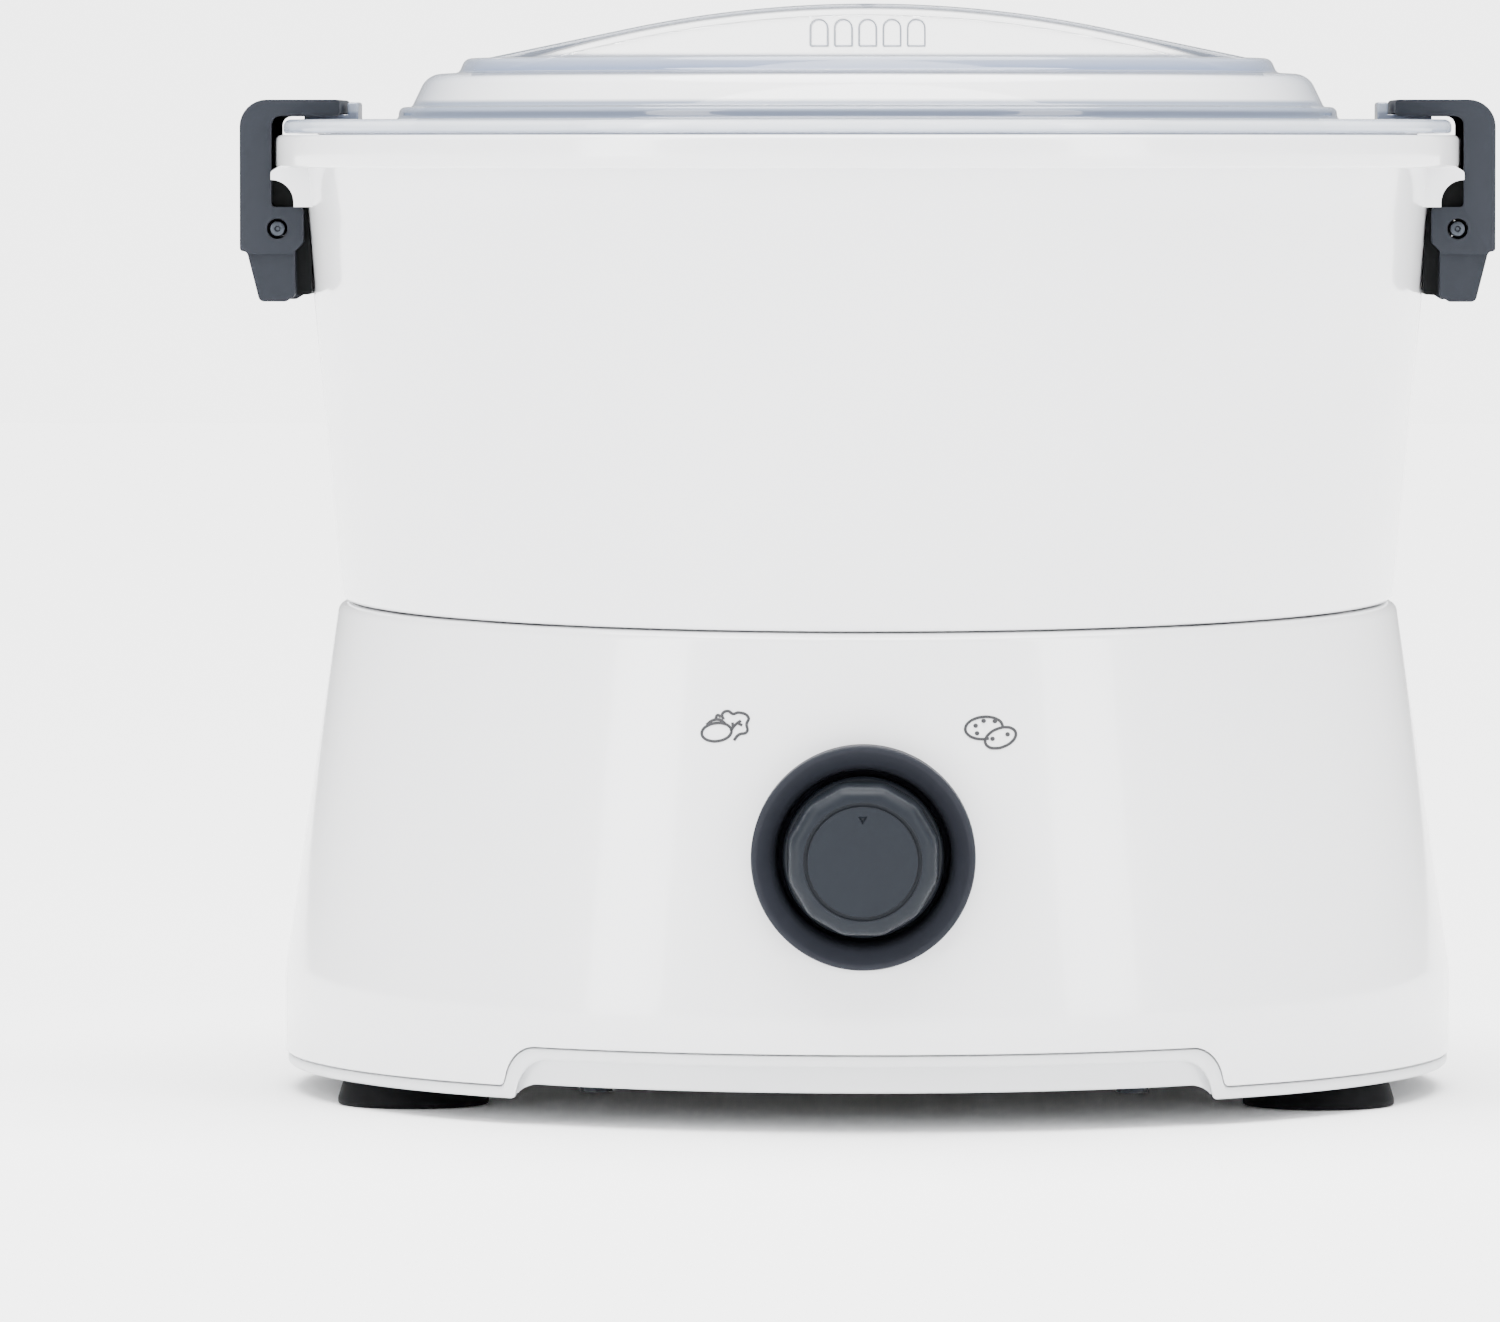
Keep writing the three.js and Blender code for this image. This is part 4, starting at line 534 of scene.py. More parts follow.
# %% Sizes of the base
HOUSING_BOTTOM = 8.1
SEAM_HEIGHT = 106.8
SEAM_GAP = 0.4
WALL = 2.8
FLARE_RADIUS = 129.8
FLARE_HEIGHT = 26
WAIST_RADIUS = 117.6
STEP_RADIUS = 103
STEP_HEIGHT = 4.4
COLLAR_RADIUS = 11.5
COLLAR_TOP = 118
COLLAR_BORE = 9.3
COLLAR_WALL = 3.3
COLLAR_BOTTOM = 91.6
ARCH_HALF_WIDTH = 77
ARCH_CORNER = 6.6
ARCH_TOP = 16.7
KNOB_HEIGHT = 58.5
SCREW_TURNS = 60, 120, 240, 300
SCREW_OUT = 115
PLATE_CORNERS = (-64, -20), (55, -20), (55, 72), (-64, 72)
AXLE_BACK = 52.5
STEP_TOP = SEAM_HEIGHT + STEP_HEIGHT
DECK_BOTTOM = STEP_TOP - WALL
BASE_SLOPE = (FLARE_RADIUS - WAIST_RADIUS) / (SEAM_HEIGHT - FLARE_HEIGHT)


def base_radius_at(height):
    return WAIST_RADIUS + (SEAM_HEIGHT - height) * BASE_SLOPE


print("the base leans in by", round(math.degrees(math.atan(BASE_SLOPE)), 1), "degrees")


# %% [markdown]
# Each end of the arch is a quarter round. The rows of the spin are too far apart to draw it, so before the edge
# is lifted the shape is cut by planes at the round's own steps.

# %% The arch in the lower edge
CORNER_STEPS = 9
CORNER_FOOT = 1.2
FOOT_SHARES = 0.15, 0.4, 0.7, 1
BEAD_WIDTH = 2.5


def arch_lift(x, height, inset=0):
    """How far the lower edge is raised at a distance x from the middle, in mm."""
    out = abs(x) + inset - ARCH_HALF_WIDTH
    if out > 0:
        return CORNER_FOOT - math.sqrt(CORNER_FOOT ** 2 - max(0, CORNER_FOOT - out) ** 2)
    share = max(0, 1 + out / ARCH_CORNER)
    return max(CORNER_FOOT, height * math.sqrt(1 - share ** 2))


def cut_rows_at_arch(shape):
    rounds = [-ARCH_CORNER * (1 - math.sin(i / CORNER_STEPS * math.pi / 2)) for i in range(CORNER_STEPS + 1)]
    rounds += [CORNER_FOOT * share for share in FOOT_SHARES]
    for out in rounds:
        for inset in (0, BEAD_WIDTH):
            for side in (-1, 1):
                bmesh.ops.bisect_plane(
                    shape, geom=shape.verts[:] + shape.edges[:] + shape.faces[:], dist=0.02 * MM,
                    plane_co=(side * (ARCH_HALF_WIDTH + out - inset) * MM, 0, 0), plane_no=(1, 0, 0),
                )


def lift_lower_edge(shape, below):
    cut_rows_at_arch(shape)
    for vert in shape.verts:
        if vert.co.z < below * MM and vert.co.xy.length > (FLARE_RADIUS - 2 * WALL) * MM:
            vert.co.z += arch_lift(vert.co.x / MM, ARCH_TOP - HOUSING_BOTTOM) * MM


# %% [markdown]
# In the photograph the seam bends down further in front than a level circle would from this height. So the two
# edges that meet there dip a little at the front and back and rise at the sides, both by the same rule.

# %% The seam's curve
SEAM_CURVE = 3.0
SEAM_LEVEL_SHARE = 0.6
SEAM_SOFTNESS = 0.02
SEAM_INNER = 110
SEAM_ZONE = 6


def follow_seam(shape):
    for vert in shape.verts:
        radius = vert.co.xy.length
        if radius < SEAM_INNER * MM or abs(vert.co.z - SEAM_HEIGHT * MM) > SEAM_ZONE * MM:
            continue
        frontness = math.sqrt((vert.co.y / radius) ** 2 + SEAM_SOFTNESS)
        vert.co.z -= SEAM_CURVE * (frontness - SEAM_LEVEL_SHARE) * MM
    return shape


# %% Turn the base and cut its holes
BEZEL_NECK = 22.5
FIT_GAP = 0.3
GLAND_HEIGHT = 26.5
GLAND_NECK = 5.4
KEY_COUNT = 4


def facing_front(shape, height):
    """Lays a shape that stands on the Z axis so that it points out of the front at a height."""
    return shifted(turned_by(shape, 90, "X"), z=height)


def base_shell():
    inner = FLARE_RADIUS - WALL
    ledge = SEAM_HEIGHT - WALL
    shell = turned([
        (FLARE_RADIUS, HOUSING_BOTTOM, 0.7), (FLARE_RADIUS, FLARE_HEIGHT, 30), (WAIST_RADIUS, SEAM_HEIGHT, 2.5),
        (STEP_RADIUS, SEAM_HEIGHT, 0.6), (STEP_RADIUS, STEP_TOP, 1), (COLLAR_RADIUS, STEP_TOP, 1),
        (COLLAR_RADIUS, COLLAR_TOP, 0.6), (COLLAR_BORE, COLLAR_TOP, 0.4), (COLLAR_BORE, COLLAR_BOTTOM),
        (COLLAR_BORE + COLLAR_WALL, COLLAR_BOTTOM, 0.5), (COLLAR_BORE + COLLAR_WALL, DECK_BOTTOM, 1),
        (STEP_RADIUS - WALL, DECK_BOTTOM, 1), (STEP_RADIUS - WALL, ledge), (base_radius_at(ledge) - WALL, ledge, 1),
        (inner, FLARE_HEIGHT, 30), (inner, HOUSING_BOTTOM, 0.4),
    ], steps=360)
    lift_lower_edge(shell, below=9)
    follow_seam(shell)
    window = facing_front(post(BEZEL_NECK + FIT_GAP, 110, 135, 96), KNOB_HEIGHT)
    outlet = facing_front(post(GLAND_NECK + FIT_GAP, -135, -120), GLAND_HEIGHT)
    return cut(shell, window, outlet)


def pillar(low, high, radius=5.5, bore=2):
    return turned([(bore, low), (radius, low, 0.4), (radius, high), (bore, high)], steps=40)


def key():
    blank = block(STEP_RADIUS - 1, STEP_RADIUS + 4, -4, 4, SEAM_HEIGHT - 1, SEAM_HEIGHT + 3.8)
    return rounded_rims(blank, 0.6)


def base_bosses():
    """The pillars inside that take the cover's and the gearbox plate's screws, and the keys on the step."""
    parts = []
    for turn in SCREW_TURNS:
        parts.append(turned_by(shifted(pillar(11.5, 45), x=SCREW_OUT), turn))
        parts.append(turned_by(block(119, 124, -1.3, 1.3, 20.3, 45), turn))
    for x, y in PLATE_CORNERS:
        parts.append(shifted(pillar(69.1, DECK_BOTTOM + 1), x, y))
    parts.append(shifted(pillar(92.3, DECK_BOTTOM + 1, bore=3.3), 0, AXLE_BACK))
    return parts + all_round(key, KEY_COUNT)


piece("base_shell", together(base_shell(), *base_bosses()), "base", WHITE_ABS, "white_abs", "base_housing")

# %% [markdown]
# The cover underneath is a shallow pale-grey dish. Its lip shows as a bead below the white skirt. The bead goes
# up and over the two arches with the skirt's edge, and a set-back wall closes the arch under it.

# %% Bottom cover
LIP_RADIUS = 129.2
PAD_BOTTOM = 5.2
PLATE_BOTTOM = 8.8
PLATE_TOP = 11.2
RING_TOP = 20
RING_OUTSIDE = FLARE_RADIUS - WALL - FIT_GAP
RING_INSIDE = RING_OUTSIDE - 2.4
SET_BACK = RING_OUTSIDE + 0.4
COVER_SEAM = PAD_BOTTOM + 0.1
VENT_COUNT = 5
VENT_PITCH = 9
VENT_ROW = 62
FOOT_X = 99
FOOT_Y = 52


def bottom_cover():
    lip_top = HOUSING_BOTTOM - FIT_GAP
    dish = turned([
        (0, PLATE_BOTTOM), (RING_INSIDE, PLATE_BOTTOM, 0.6),
        (RING_INSIDE, PAD_BOTTOM, 0.6), (SET_BACK, PAD_BOTTOM), (SET_BACK, COVER_SEAM),
        (LIP_RADIUS, COVER_SEAM, 1), (LIP_RADIUS, lip_top, 0.6), (RING_OUTSIDE, lip_top),
        (RING_OUTSIDE, RING_TOP, 0.5), (RING_INSIDE, RING_TOP, 0.5),
        (RING_INSIDE, PLATE_TOP, 1), (0, PLATE_TOP),
    ], steps=360)
    cut_rows_at_arch(dish)
    for vert in dish.verts:
        x, radius, height = vert.co.x / MM, vert.co.xy.length / MM, vert.co.z / MM
        if radius < RING_INSIDE - 1 or height > lip_top + 0.1:
            continue
        full = ARCH_TOP - HOUSING_BOTTOM
        if height > (COVER_SEAM + lip_top) / 2 and radius > RING_OUTSIDE - 0.1:
            lift = arch_lift(x, full)
        elif radius > SET_BACK - 0.05 and height > COVER_SEAM - 0.05:
            lift = arch_lift(x, full, BEAD_WIDTH)
        elif height < PAD_BOTTOM + 1.3:
            lift = arch_lift(x, PLATE_BOTTOM - PAD_BOTTOM, BEAD_WIDTH)
        else:
            continue
        vert.co.z += lift * MM
    tools = []
    for row in (-VENT_ROW, VENT_ROW):
        for i in range(VENT_COUNT):
            y = row + (i - (VENT_COUNT - 1) / 2) * VENT_PITCH
            tools.append(carried([(-23, 7), (23, 7), (23, 13), (-23, 13)], y - 2, y + 2))
    tools += [shifted(post(5.3, 4, 22, 40), x, y) for x in (-FOOT_X, FOOT_X) for y in (-FOOT_Y, FOOT_Y)]
    tools += [turned_by(shifted(post(2, 4, 22, 32), x=SCREW_OUT), turn) for turn in SCREW_TURNS]
    return cut(dish, *tools)


piece("cover_dish", bottom_cover(), "base", PALE_ABS, "pale_grey_abs", "bottom_cover")

# %% [markdown]
# Four suction feet of black rubber hold the machine down. Each is a shallow bell with a thin lip, a neck that
# snaps through the cover, and a head above it.

# %% Suction feet
def suction_foot():
    return turned([
        (0, 4.2), (14.5, 0.05, 6), (14.5, 0), (16.5, 0, 0.3), (16.5, 1.2, 0.5), (15.4, 4.9, 1.5), (7.5, 8.5, 0.3),
        (5, 8.5, 0.3), (5, 11.5, 0.3), (7.2, 11.5, 0.3), (5.8, 14.5, 1), (0, 14.5),
    ], steps=72)


for row, y in (("front", -FOOT_Y), ("back", FOOT_Y)):
    for side, x in (("left", -FOOT_X), ("right", FOOT_X)):
        foot = shifted(suction_foot(), x, y)
        piece(f"rubber_foot_{row}_{side}", foot, "base", RUBBER, "black_rubber", f"suction_foot_{row}_{side}")

# %% [markdown]
# ## The knob
# The knob stands in a dark well. The bezel is a full ring whose face falls away to the well, and the knob has a
# round skirt at its foot and a grip with twelve soft flats. Its face is ringed by a groove, and a dimple points at
# the setting. The profiles are drawn upright, with the distances from the machine's axis as their heights.

# %% Bezel
BEZEL_RADIUS = 23.85
BEZEL_BACK = 121
BEZEL_FRONT = 129.8
WELL_RADIUS = 18.4
WELL_FLOOR = 116


def bezel():
    cup = turned([
        (5, WELL_FLOOR - 2.5), (BEZEL_NECK, WELL_FLOOR - 2.5, 0.6), (BEZEL_NECK, BEZEL_BACK),
        (BEZEL_RADIUS, BEZEL_BACK, 0.4), (BEZEL_RADIUS, BEZEL_FRONT, 1.1), (22.6, BEZEL_FRONT, 1.2),
        (18.9, 128.1, 2.2), (WELL_RADIUS, 122, 0.5), (WELL_RADIUS, WELL_FLOOR, 1.5), (5, WELL_FLOOR, 0.3),
    ], steps=160)
    return cut(facing_front(cup, KNOB_HEIGHT), housing_cone())


def housing_cone():
    """The space that the housing takes, all but the round window for the bezel's neck."""
    low, high = 30, 88
    cone = post(base_radius_at(low) + FIT_GAP, low, high, 360, top=base_radius_at(high) + FIT_GAP)
    return cut(cone, facing_front(post(BEZEL_NECK, 20, 140, 160), KNOB_HEIGHT))


piece("knob_well_ring", bezel(), "base", BEZEL_GREY, "dark_grey_abs", "knob_bezel")

# %% Knob
KNOB_FRONT = 141.5
KNOB_BACK = 119.5
SKIRT_RADIUS = 17.15
SKIRT_FRONT = 126
GRIP_BACK = 124
KNOB_FLATS = 12
GROOVE_RADIUS = 12.1
GROOVE_HALF = 0.45
GROOVE_FLOOR = KNOB_FRONT - 0.8
FACE_SET_BACK = 0.25
PAST_KNOB = KNOB_FRONT + 1.5


def knob():
    skirt = turned([
        (0, KNOB_BACK), (SKIRT_RADIUS, KNOB_BACK, 0.5), (SKIRT_RADIUS, SKIRT_FRONT, 1), (0, SKIRT_FRONT),
    ], steps=144)
    grip = turned_by(post(16.75, GRIP_BACK, KNOB_FRONT, KNOB_FLATS, top=16.1), 180 / KNOB_FLATS)
    rounded_rims(grip, 1.2, angle=20, below=40, steps=4)
    rounded_rims(grip, 2.8, angle=50, steps=7)
    inside, outside = GROOVE_RADIUS - GROOVE_HALF, GROOVE_RADIUS + GROOVE_HALF
    groove = turned([
        (inside, GROOVE_FLOOR, 0.2), (outside, GROOVE_FLOOR, 0.2), (outside, PAST_KNOB), (inside, PAST_KNOB),
    ], steps=120)
    face = post(GROOVE_RADIUS, KNOB_FRONT - FACE_SET_BACK, PAST_KNOB, 120)
    pointer = shifted(turned_by(post(0.5, GROOVE_FLOOR, PAST_KNOB, 3, top=3.4), 180), y=9)
    bore = post(3.3, 115, 132.8, 40)
    hollow = turned([(5.6, 118), (13.3, 118), (13.3, 138.3, 1), (5.6, 138.3, 1)], steps=96)
    return facing_front(cut(joined(skirt, grip), hollow, groove, face, pointer, bore), KNOB_HEIGHT)


piece("knob", knob(), "knob", KNOB_GREY, "knob_grey_abs", "control_knob")

# %% [markdown]
# Two small line drawings are pad-printed above the knob, a leafy vegetable and a pair of potatoes, one for each
# way that it turns. A curve with a round bevel draws each pen stroke, and its mesh is flattened to a very thin
# skin and wrapped on the leaning wall.

# %% Tools for the print
STROKE = 0.62
INK_HEIGHT = 0.06
STROKE_STEPS = 5


def drawn(strokes):
    """Pen strokes as one mesh. Each is (points, closed), with points in mm right and up of the drawing's middle."""
    curve = bpy.data.curves.new("strokes", "CURVE")
    curve.dimensions = "3D"
    curve.bevel_depth = STROKE / 2 * MM
    curve.bevel_resolution = 1
    curve.resolution_u = STROKE_STEPS
    curve.use_fill_caps = True
    for points, closed in strokes:
        spline = curve.splines.new("BEZIER")
        spline.bezier_points.add(len(points) - 1)
        spline.use_cyclic_u = closed
        for knot, (right, up) in zip(spline.bezier_points, points):
            knot.co = (right * MM, up * MM, 0)
            knot.handle_left_type = knot.handle_right_type = "AUTO"
    pen = in_scene("strokes", curve)
    shape = bmesh.new()
    shape.from_mesh(pen.evaluated_get(bpy.context.evaluated_depsgraph_get()).to_mesh())
    bpy.data.objects.remove(pen)
    bpy.data.curves.remove(curve)
    bmesh.ops.remove_doubles(shape, verts=shape.verts, dist=WELD / 10)
    bmesh.ops.recalc_face_normals(shape, faces=shape.faces)
    return shape


def oval(right, up, long, short, tilt=0, start=0, stop=360, count=12):
    """An oval stroke, or the part of one between two angles."""
    closed = stop - start == 360
    turn = math.radians(tilt)
    points = []
    for i in range(count if closed else count + 1):
        angle = math.radians(start + (stop - start) * i / count)
        a, b = long * math.cos(angle), short * math.sin(angle)
        points.append((right + a * math.cos(turn) - b * math.sin(turn), up + a * math.sin(turn) + b * math.cos(turn)))
    return points, closed


def printed(shape, right, height):
    """Lays a drawing on the front of the base."""
    for vert in shape.verts:
        x, z = vert.co.x / MM + right, vert.co.y / MM + height
        wall = math.sqrt(base_radius_at(z) ** 2 - x ** 2)
        relief = vert.co.z / (STROKE / 2 * MM) * INK_HEIGHT
        vert.co = Vector((x, -wall - relief, z)) * MM
    bmesh.ops.recalc_face_normals(shape, faces=shape.faces)
    return shape


# %% The two drawings
EYES = (-3.2, 1.4), (-1.5, 2.4), (0.9, 2.3), (-2.9, -0.2), (0.4, -1.4), (3.6, -0.5)
POTATO_PLACE = 27.0, 84.7
VEGETABLE_PLACE = -29.2, 85.8

potatoes = drawn([
    oval(2.1, -1.2, 3.4, 2.0, tilt=20),
    oval(-1.4, 0.9, 4.0, 2.35, tilt=4, start=-2, stop=283),
    *[oval(*eye, 0.2, 0.16, count=4) for eye in EYES],
])
vegetable = drawn([
    oval(-2.1, -1.2, 3.2, 1.9, tilt=8),
    ([
        (-0.6, 1.5), (-0.9, 2.6), (0.3, 3.3), (1.4, 2.7), (2.6, 3.0), (4.7, 2.0), (4.3, 0.6), (4.4, -1.0),
        (2.6, -1.7), (1.6, -2.9),
    ], False),
    ([(0.9, -0.9), (1.9, 0.4), (3.1, 1.3)], False),
    ([(1.4, -0.2), (1.3, 0.9)], False),
    ([(2.3, 0.8), (3.4, 0.3)], False),
    ([(-4.3, 0.3), (-2.9, 1.3), (-1.4, 1.4), (-0.2, 0.6)], False),
    ([(-2.3, 1.6), (-1.9, 2.4), (-1.2, 2.0)], False),
])
piece("potato_print", printed(potatoes, *POTATO_PLACE), "base", PRINT_INK, "black_plastic")
piece("vegetable_print", printed(vegetable, *VEGETABLE_PLACE), "base", PRINT_INK, "black_plastic")

# %% [markdown]
# ## The bowl
# A tapered pail with a rim band that hangs over its wall like a skirt, and a slim shadow line at its foot
# where it meets the base. Inside, eight upright ribs throw the potatoes about, and a chimney in the middle
# keeps water away from the shaft.

# %% Sizes of the bowl
BOWL_BOTTOM = SEAM_HEIGHT + SEAM_GAP
BOWL_FOOT = 116.9
BOWL_NECK = 125.8
RIM_BOTTOM = 204.4
RIM_TOP = 211.6
RIM_RADIUS = 132.1
RIM_WALL = 2.4
FLOOR_TOP = 115
BOWL_SLOPE = (BOWL_NECK - BOWL_FOOT) / (RIM_BOTTOM - BOWL_BOTTOM)


def bowl_radius_at(height):
    return BOWL_FOOT + (height - BOWL_BOTTOM) * BOWL_SLOPE


def bowl_inside_at(height):
    return bowl_radius_at(height) - WALL


# %% Bowl
RIB_COUNT = 8
RIB_LOW, RIB_HIGH = 121, 199
RIB_RADIUS = 2.4
DECK_UNDER = 112.2
SEAT_INSIDE, SEAT_OUTSIDE = 103.6, 106
CHIMNEY_TOP = 134.2


def bowl_rib():
    middle = (RIB_LOW + RIB_HIGH) / 2
    rib = turned([(0, RIB_LOW), (RIB_RADIUS, RIB_LOW, 1.6), (RIB_RADIUS, RIB_HIGH, 1.6), (0, RIB_HIGH)], steps=24)
    turned_by(shifted(rib, z=-middle), math.degrees(math.atan(BOWL_SLOPE)), "Y")
    return shifted(rib, bowl_inside_at(middle), z=middle)


def bowl_shell():
    under_rim = RIM_TOP - RIM_WALL
    return turned([
        (bowl_inside_at(BOWL_BOTTOM), BOWL_BOTTOM, 0.4), (BOWL_FOOT, BOWL_BOTTOM, 1.8),
        (bowl_radius_at(under_rim), under_rim, 0.8), (RIM_RADIUS - RIM_WALL, under_rim, 0.8),
        (RIM_RADIUS - RIM_WALL, RIM_BOTTOM, 0.4), (RIM_RADIUS, RIM_BOTTOM, 0.7), (RIM_RADIUS, RIM_TOP, 1.3),
        (bowl_inside_at(RIM_TOP), RIM_TOP, 0.8), (bowl_inside_at(FLOOR_TOP), FLOOR_TOP, 7), (15.5, FLOOR_TOP, 2),
        (15.5, CHIMNEY_TOP, 0.8), (13, CHIMNEY_TOP, 0.5), (13, DECK_UNDER), (SEAT_INSIDE, DECK_UNDER),
        (SEAT_INSIDE, BOWL_BOTTOM, 0.4), (SEAT_OUTSIDE, BOWL_BOTTOM, 0.4), (SEAT_OUTSIDE, DECK_UNDER),
        (bowl_inside_at(DECK_UNDER), DECK_UNDER, 0.6),
    ])


# %% [markdown]
# Under the rim, on each side of each clip, a small gusset stiffens the bowl. Its lower edge is bitten out in
# a quarter round above the bracket.

# %% Gussets
PIN_REACH = 130.25
PIN_HEIGHT = 190.9
CLIP_HALF = 22
GUSSET_NEAR, GUSSET_FAR = 22.8, 25
WALL_LOW, WALL_HIGH = 180, 212


def gusset():
    outline = [
        (-9, 19.5), (-9, 4.8), (-3.8, 4.8), (-3.8, 10.8, 6), (1.3, 10.8), (1.3, 12.6, 0.8), (-0.9, 14), (-1.2, 19.5),
    ]
    blank = carried([(x + PIN_REACH, z + PIN_HEIGHT, *rest) for x, z, *rest in outline], GUSSET_NEAR, GUSSET_FAR)
    low, high = [bowl_inside_at(height) + 1 for height in (WALL_LOW, WALL_HIGH)]
    return cut(blank, post(low, WALL_LOW, WALL_HIGH, AROUND, top=high))


def gussets():
    return [turned_by(shifted(gusset(), y=y), turn) for turn in (0, 180) for y in (0, -GUSSET_NEAR - GUSSET_FAR)]


bowl = together(follow_seam(bowl_shell()), *all_round(bowl_rib, RIB_COUNT, 180 / RIB_COUNT), *gussets())
piece("bowl_shell", bowl, "bowl", WHITE_ABS, "white_abs", "bowl")

# %% [markdown]
# ## The lid
# One clear moulding: a flange that lies on the rim, a plug that centres it, a bead, a steep plateau with a low
# second step on it, and a long arched grip across with five finger slots on each side. It is cut out at the two
# clips. The little pit on top of the grip is where the plastic was injected.

# %% Lid
LID_BOTTOM = RIM_TOP + FIT_GAP
LID_FLANGE_TOP = LID_BOTTOM + 3.1
LID_WALL = 2.4
RIDGE_ARC_HALF = 55
RIDGE_END = 227.5
ARC_STEPS = 40
SLOT_COUNT = 5
SLOT_PITCH = 5.4
SLOT_HALF_WIDTH = 2.1
SLOT_LOW, SLOT_HIGH = 231.2, 237.4
SLOT_DEPTH = 1.2


def lid_shell():
    return turned([
        (130.9, LID_BOTTOM, 0.8), (130.9, LID_FLANGE_TOP, 2), (104.4, LID_FLANGE_TOP, 1), (104.2, 217.8, 1.4),
        (101.4, 217.8, 0.8), (97.9, 225, 4.5), (90.9, 225.4, 1.2), (89.5, 228.6, 1.8), (0, 229.2), (0, 226.8),
        (87.9, 226.2, 1.2), (89.2, 223.1, 1.2), (96.2, 222.7, 3), (99.4, 216.2, 1), (102, 212.6, 1),
        (119.6, 212.6, 0.8), (119.6, 204.9, 0.4), (122, 204.9, 0.6), (122, LID_BOTTOM, 0.6),
    ])


def ridge_outline(wall):
    """The grip seen from the front: a long arc whose ends run off straight."""
    radius = RIDGE_ARC - wall
    bend = math.asin(RIDGE_ARC_HALF / RIDGE_ARC)
    arc = []
    for i in range(ARC_STEPS + 1):
        angle = bend * (1 - 2 * i / ARC_STEPS)
        arc.append((radius * math.sin(angle), RIDGE_TOP - wall - radius * (1 - math.cos(angle))))
    end = RIDGE_HALF_LENGTH - wall
    foot = 218 if wall else 223.8
    return [(-end, foot), (end, foot), (end, RIDGE_END - wall, 1.5), *arc, (-end, RIDGE_END - wall, 1.5)]


def ridge(wall):
    half = RIDGE_HALF_WIDTH - wall
    return rounded_rims(carried(ridge_outline(wall), -half, half), 1.6 - wall / 4, angle=50, steps=4)


def grip_slots():
    slots = []
    floor = RIDGE_HALF_WIDTH - SLOT_DEPTH
    for i in range(SLOT_COUNT):
        x = (i - (SLOT_COUNT - 1) / 2) * SLOT_PITCH
        left, right = x - SLOT_HALF_WIDTH, x + SLOT_HALF_WIDTH
        outline = [(left, SLOT_LOW, 0.3), (right, SLOT_LOW, 0.3), (right, SLOT_HIGH, 2), (left, SLOT_HIGH, 2)]
        for near, far in ((floor, floor + 3), (-floor - 3, -floor)):
            slots.append(rounded_rims(carried(outline, near, far), 0.7, angle=60, steps=1))
    return slots


def frost_slot_walls(shape):
    """The second finish, frosted and with a painted blue-grey reflection, goes on the slots' sloping walls, and not on
    their floors.
    """
    for face in shape.faces:
        x, y, z = face.calc_center_median() / MM
        in_slots = abs(x) < SLOT_COUNT * SLOT_PITCH / 2 and SLOT_LOW - 0.1 < z < SLOT_HIGH + 0.1
        deep = 0.02 < RIDGE_HALF_WIDTH - abs(y) < SLOT_DEPTH - 0.02
        if in_slots and deep and abs(face.normal.y) < 0.95:
            face.material_index = 1
    return shape


def lid():
    stops = [
        turned_by(rounded_rims(block(113, out, -9, 9, 213.8, top), rounding), turn)
        for turn in (0, 180) for out, top, rounding in ((125, 216.2, 0.4), (115.4, 218.9, 0.6))
    ]
    notches = [turned_by(block(125, 140, -23.6, 23.6, 203, 225), turn) for turn in (0, 180)]
    pit = post(0.9, RIDGE_TOP - 0.9, RIDGE_TOP + 0.3, 32, top=2.4)
    made = cut(joined(lid_shell(), ridge(0), *stops), ridge(LID_WALL), *notches, *grip_slots(), pit)
    return frost_slot_walls(made)


clear_lid = piece("clear_lid", lid(), "bowl", CLEAR_WITH_PAINTED_REFLECTIONS, "clear_plastic", "lid")
clear_lid.data.materials.append(FROSTED_WITH_PAINTED_REFLECTION)

# %% [markdown]
# ## The clips
# Each clip is a bent slab with cheeks. Its hook lies over the lid, and its tail is a finger pad. It turns on a
# steel pin in a black bracket on the bowl. The bracket's near-black tone is partly its own colour and partly painted
# shade for the shadow behind the clip. Shapes are drawn round the right-hand pin, with outboard positive.

# %% Clip
PIN_RADIUS = 1.7
CLIP_BORE = 2.3
BRACKET_BORE = 2
BRACKET_HALF = 18.9
EAR_INSIDE = 13.9


def pin_hole(radius):
    return turned_by(post(radius, -30, 30, 48), 90, "X")


def clip():
    outline = [
        (-13.8, 24.9, 0.7), (1.3, 24.9, 2), (1.3, 4.8, 0.8), (-5.8, 4.8, 1), (-5.8, -3, 0.8), (-3.8, -5, 0.8),
        (-3.9, -5.3), (-3.9, -14.8, 0.8), (-1.8, -16.1, 0.8), (4, -16.1, 1.2), (6.8, -5, 0.8), (8.3, -5, 0.8),
        (8.3, 28.5, 6), (-13.8, 28.5, 0.8),
    ]
    pocket = [(-20, -21), (0.4, -21), (4.5, -5, 0.6), (6, -3, 0.6), (6, 25.6, 3.7), (-20, 25.6)]
    body = carried(outline, -CLIP_HALF, CLIP_HALF)
    rounded_rims(body, 0.7, angle=60, steps=3)
    sides = [block(-20, 20, *span, -30, -5.6) for span in ((-30, -21.2), (21.2, 30))]
    return cut(body, carried(pocket, -19.4, 19.4), *sides, pin_hole(CLIP_BORE))


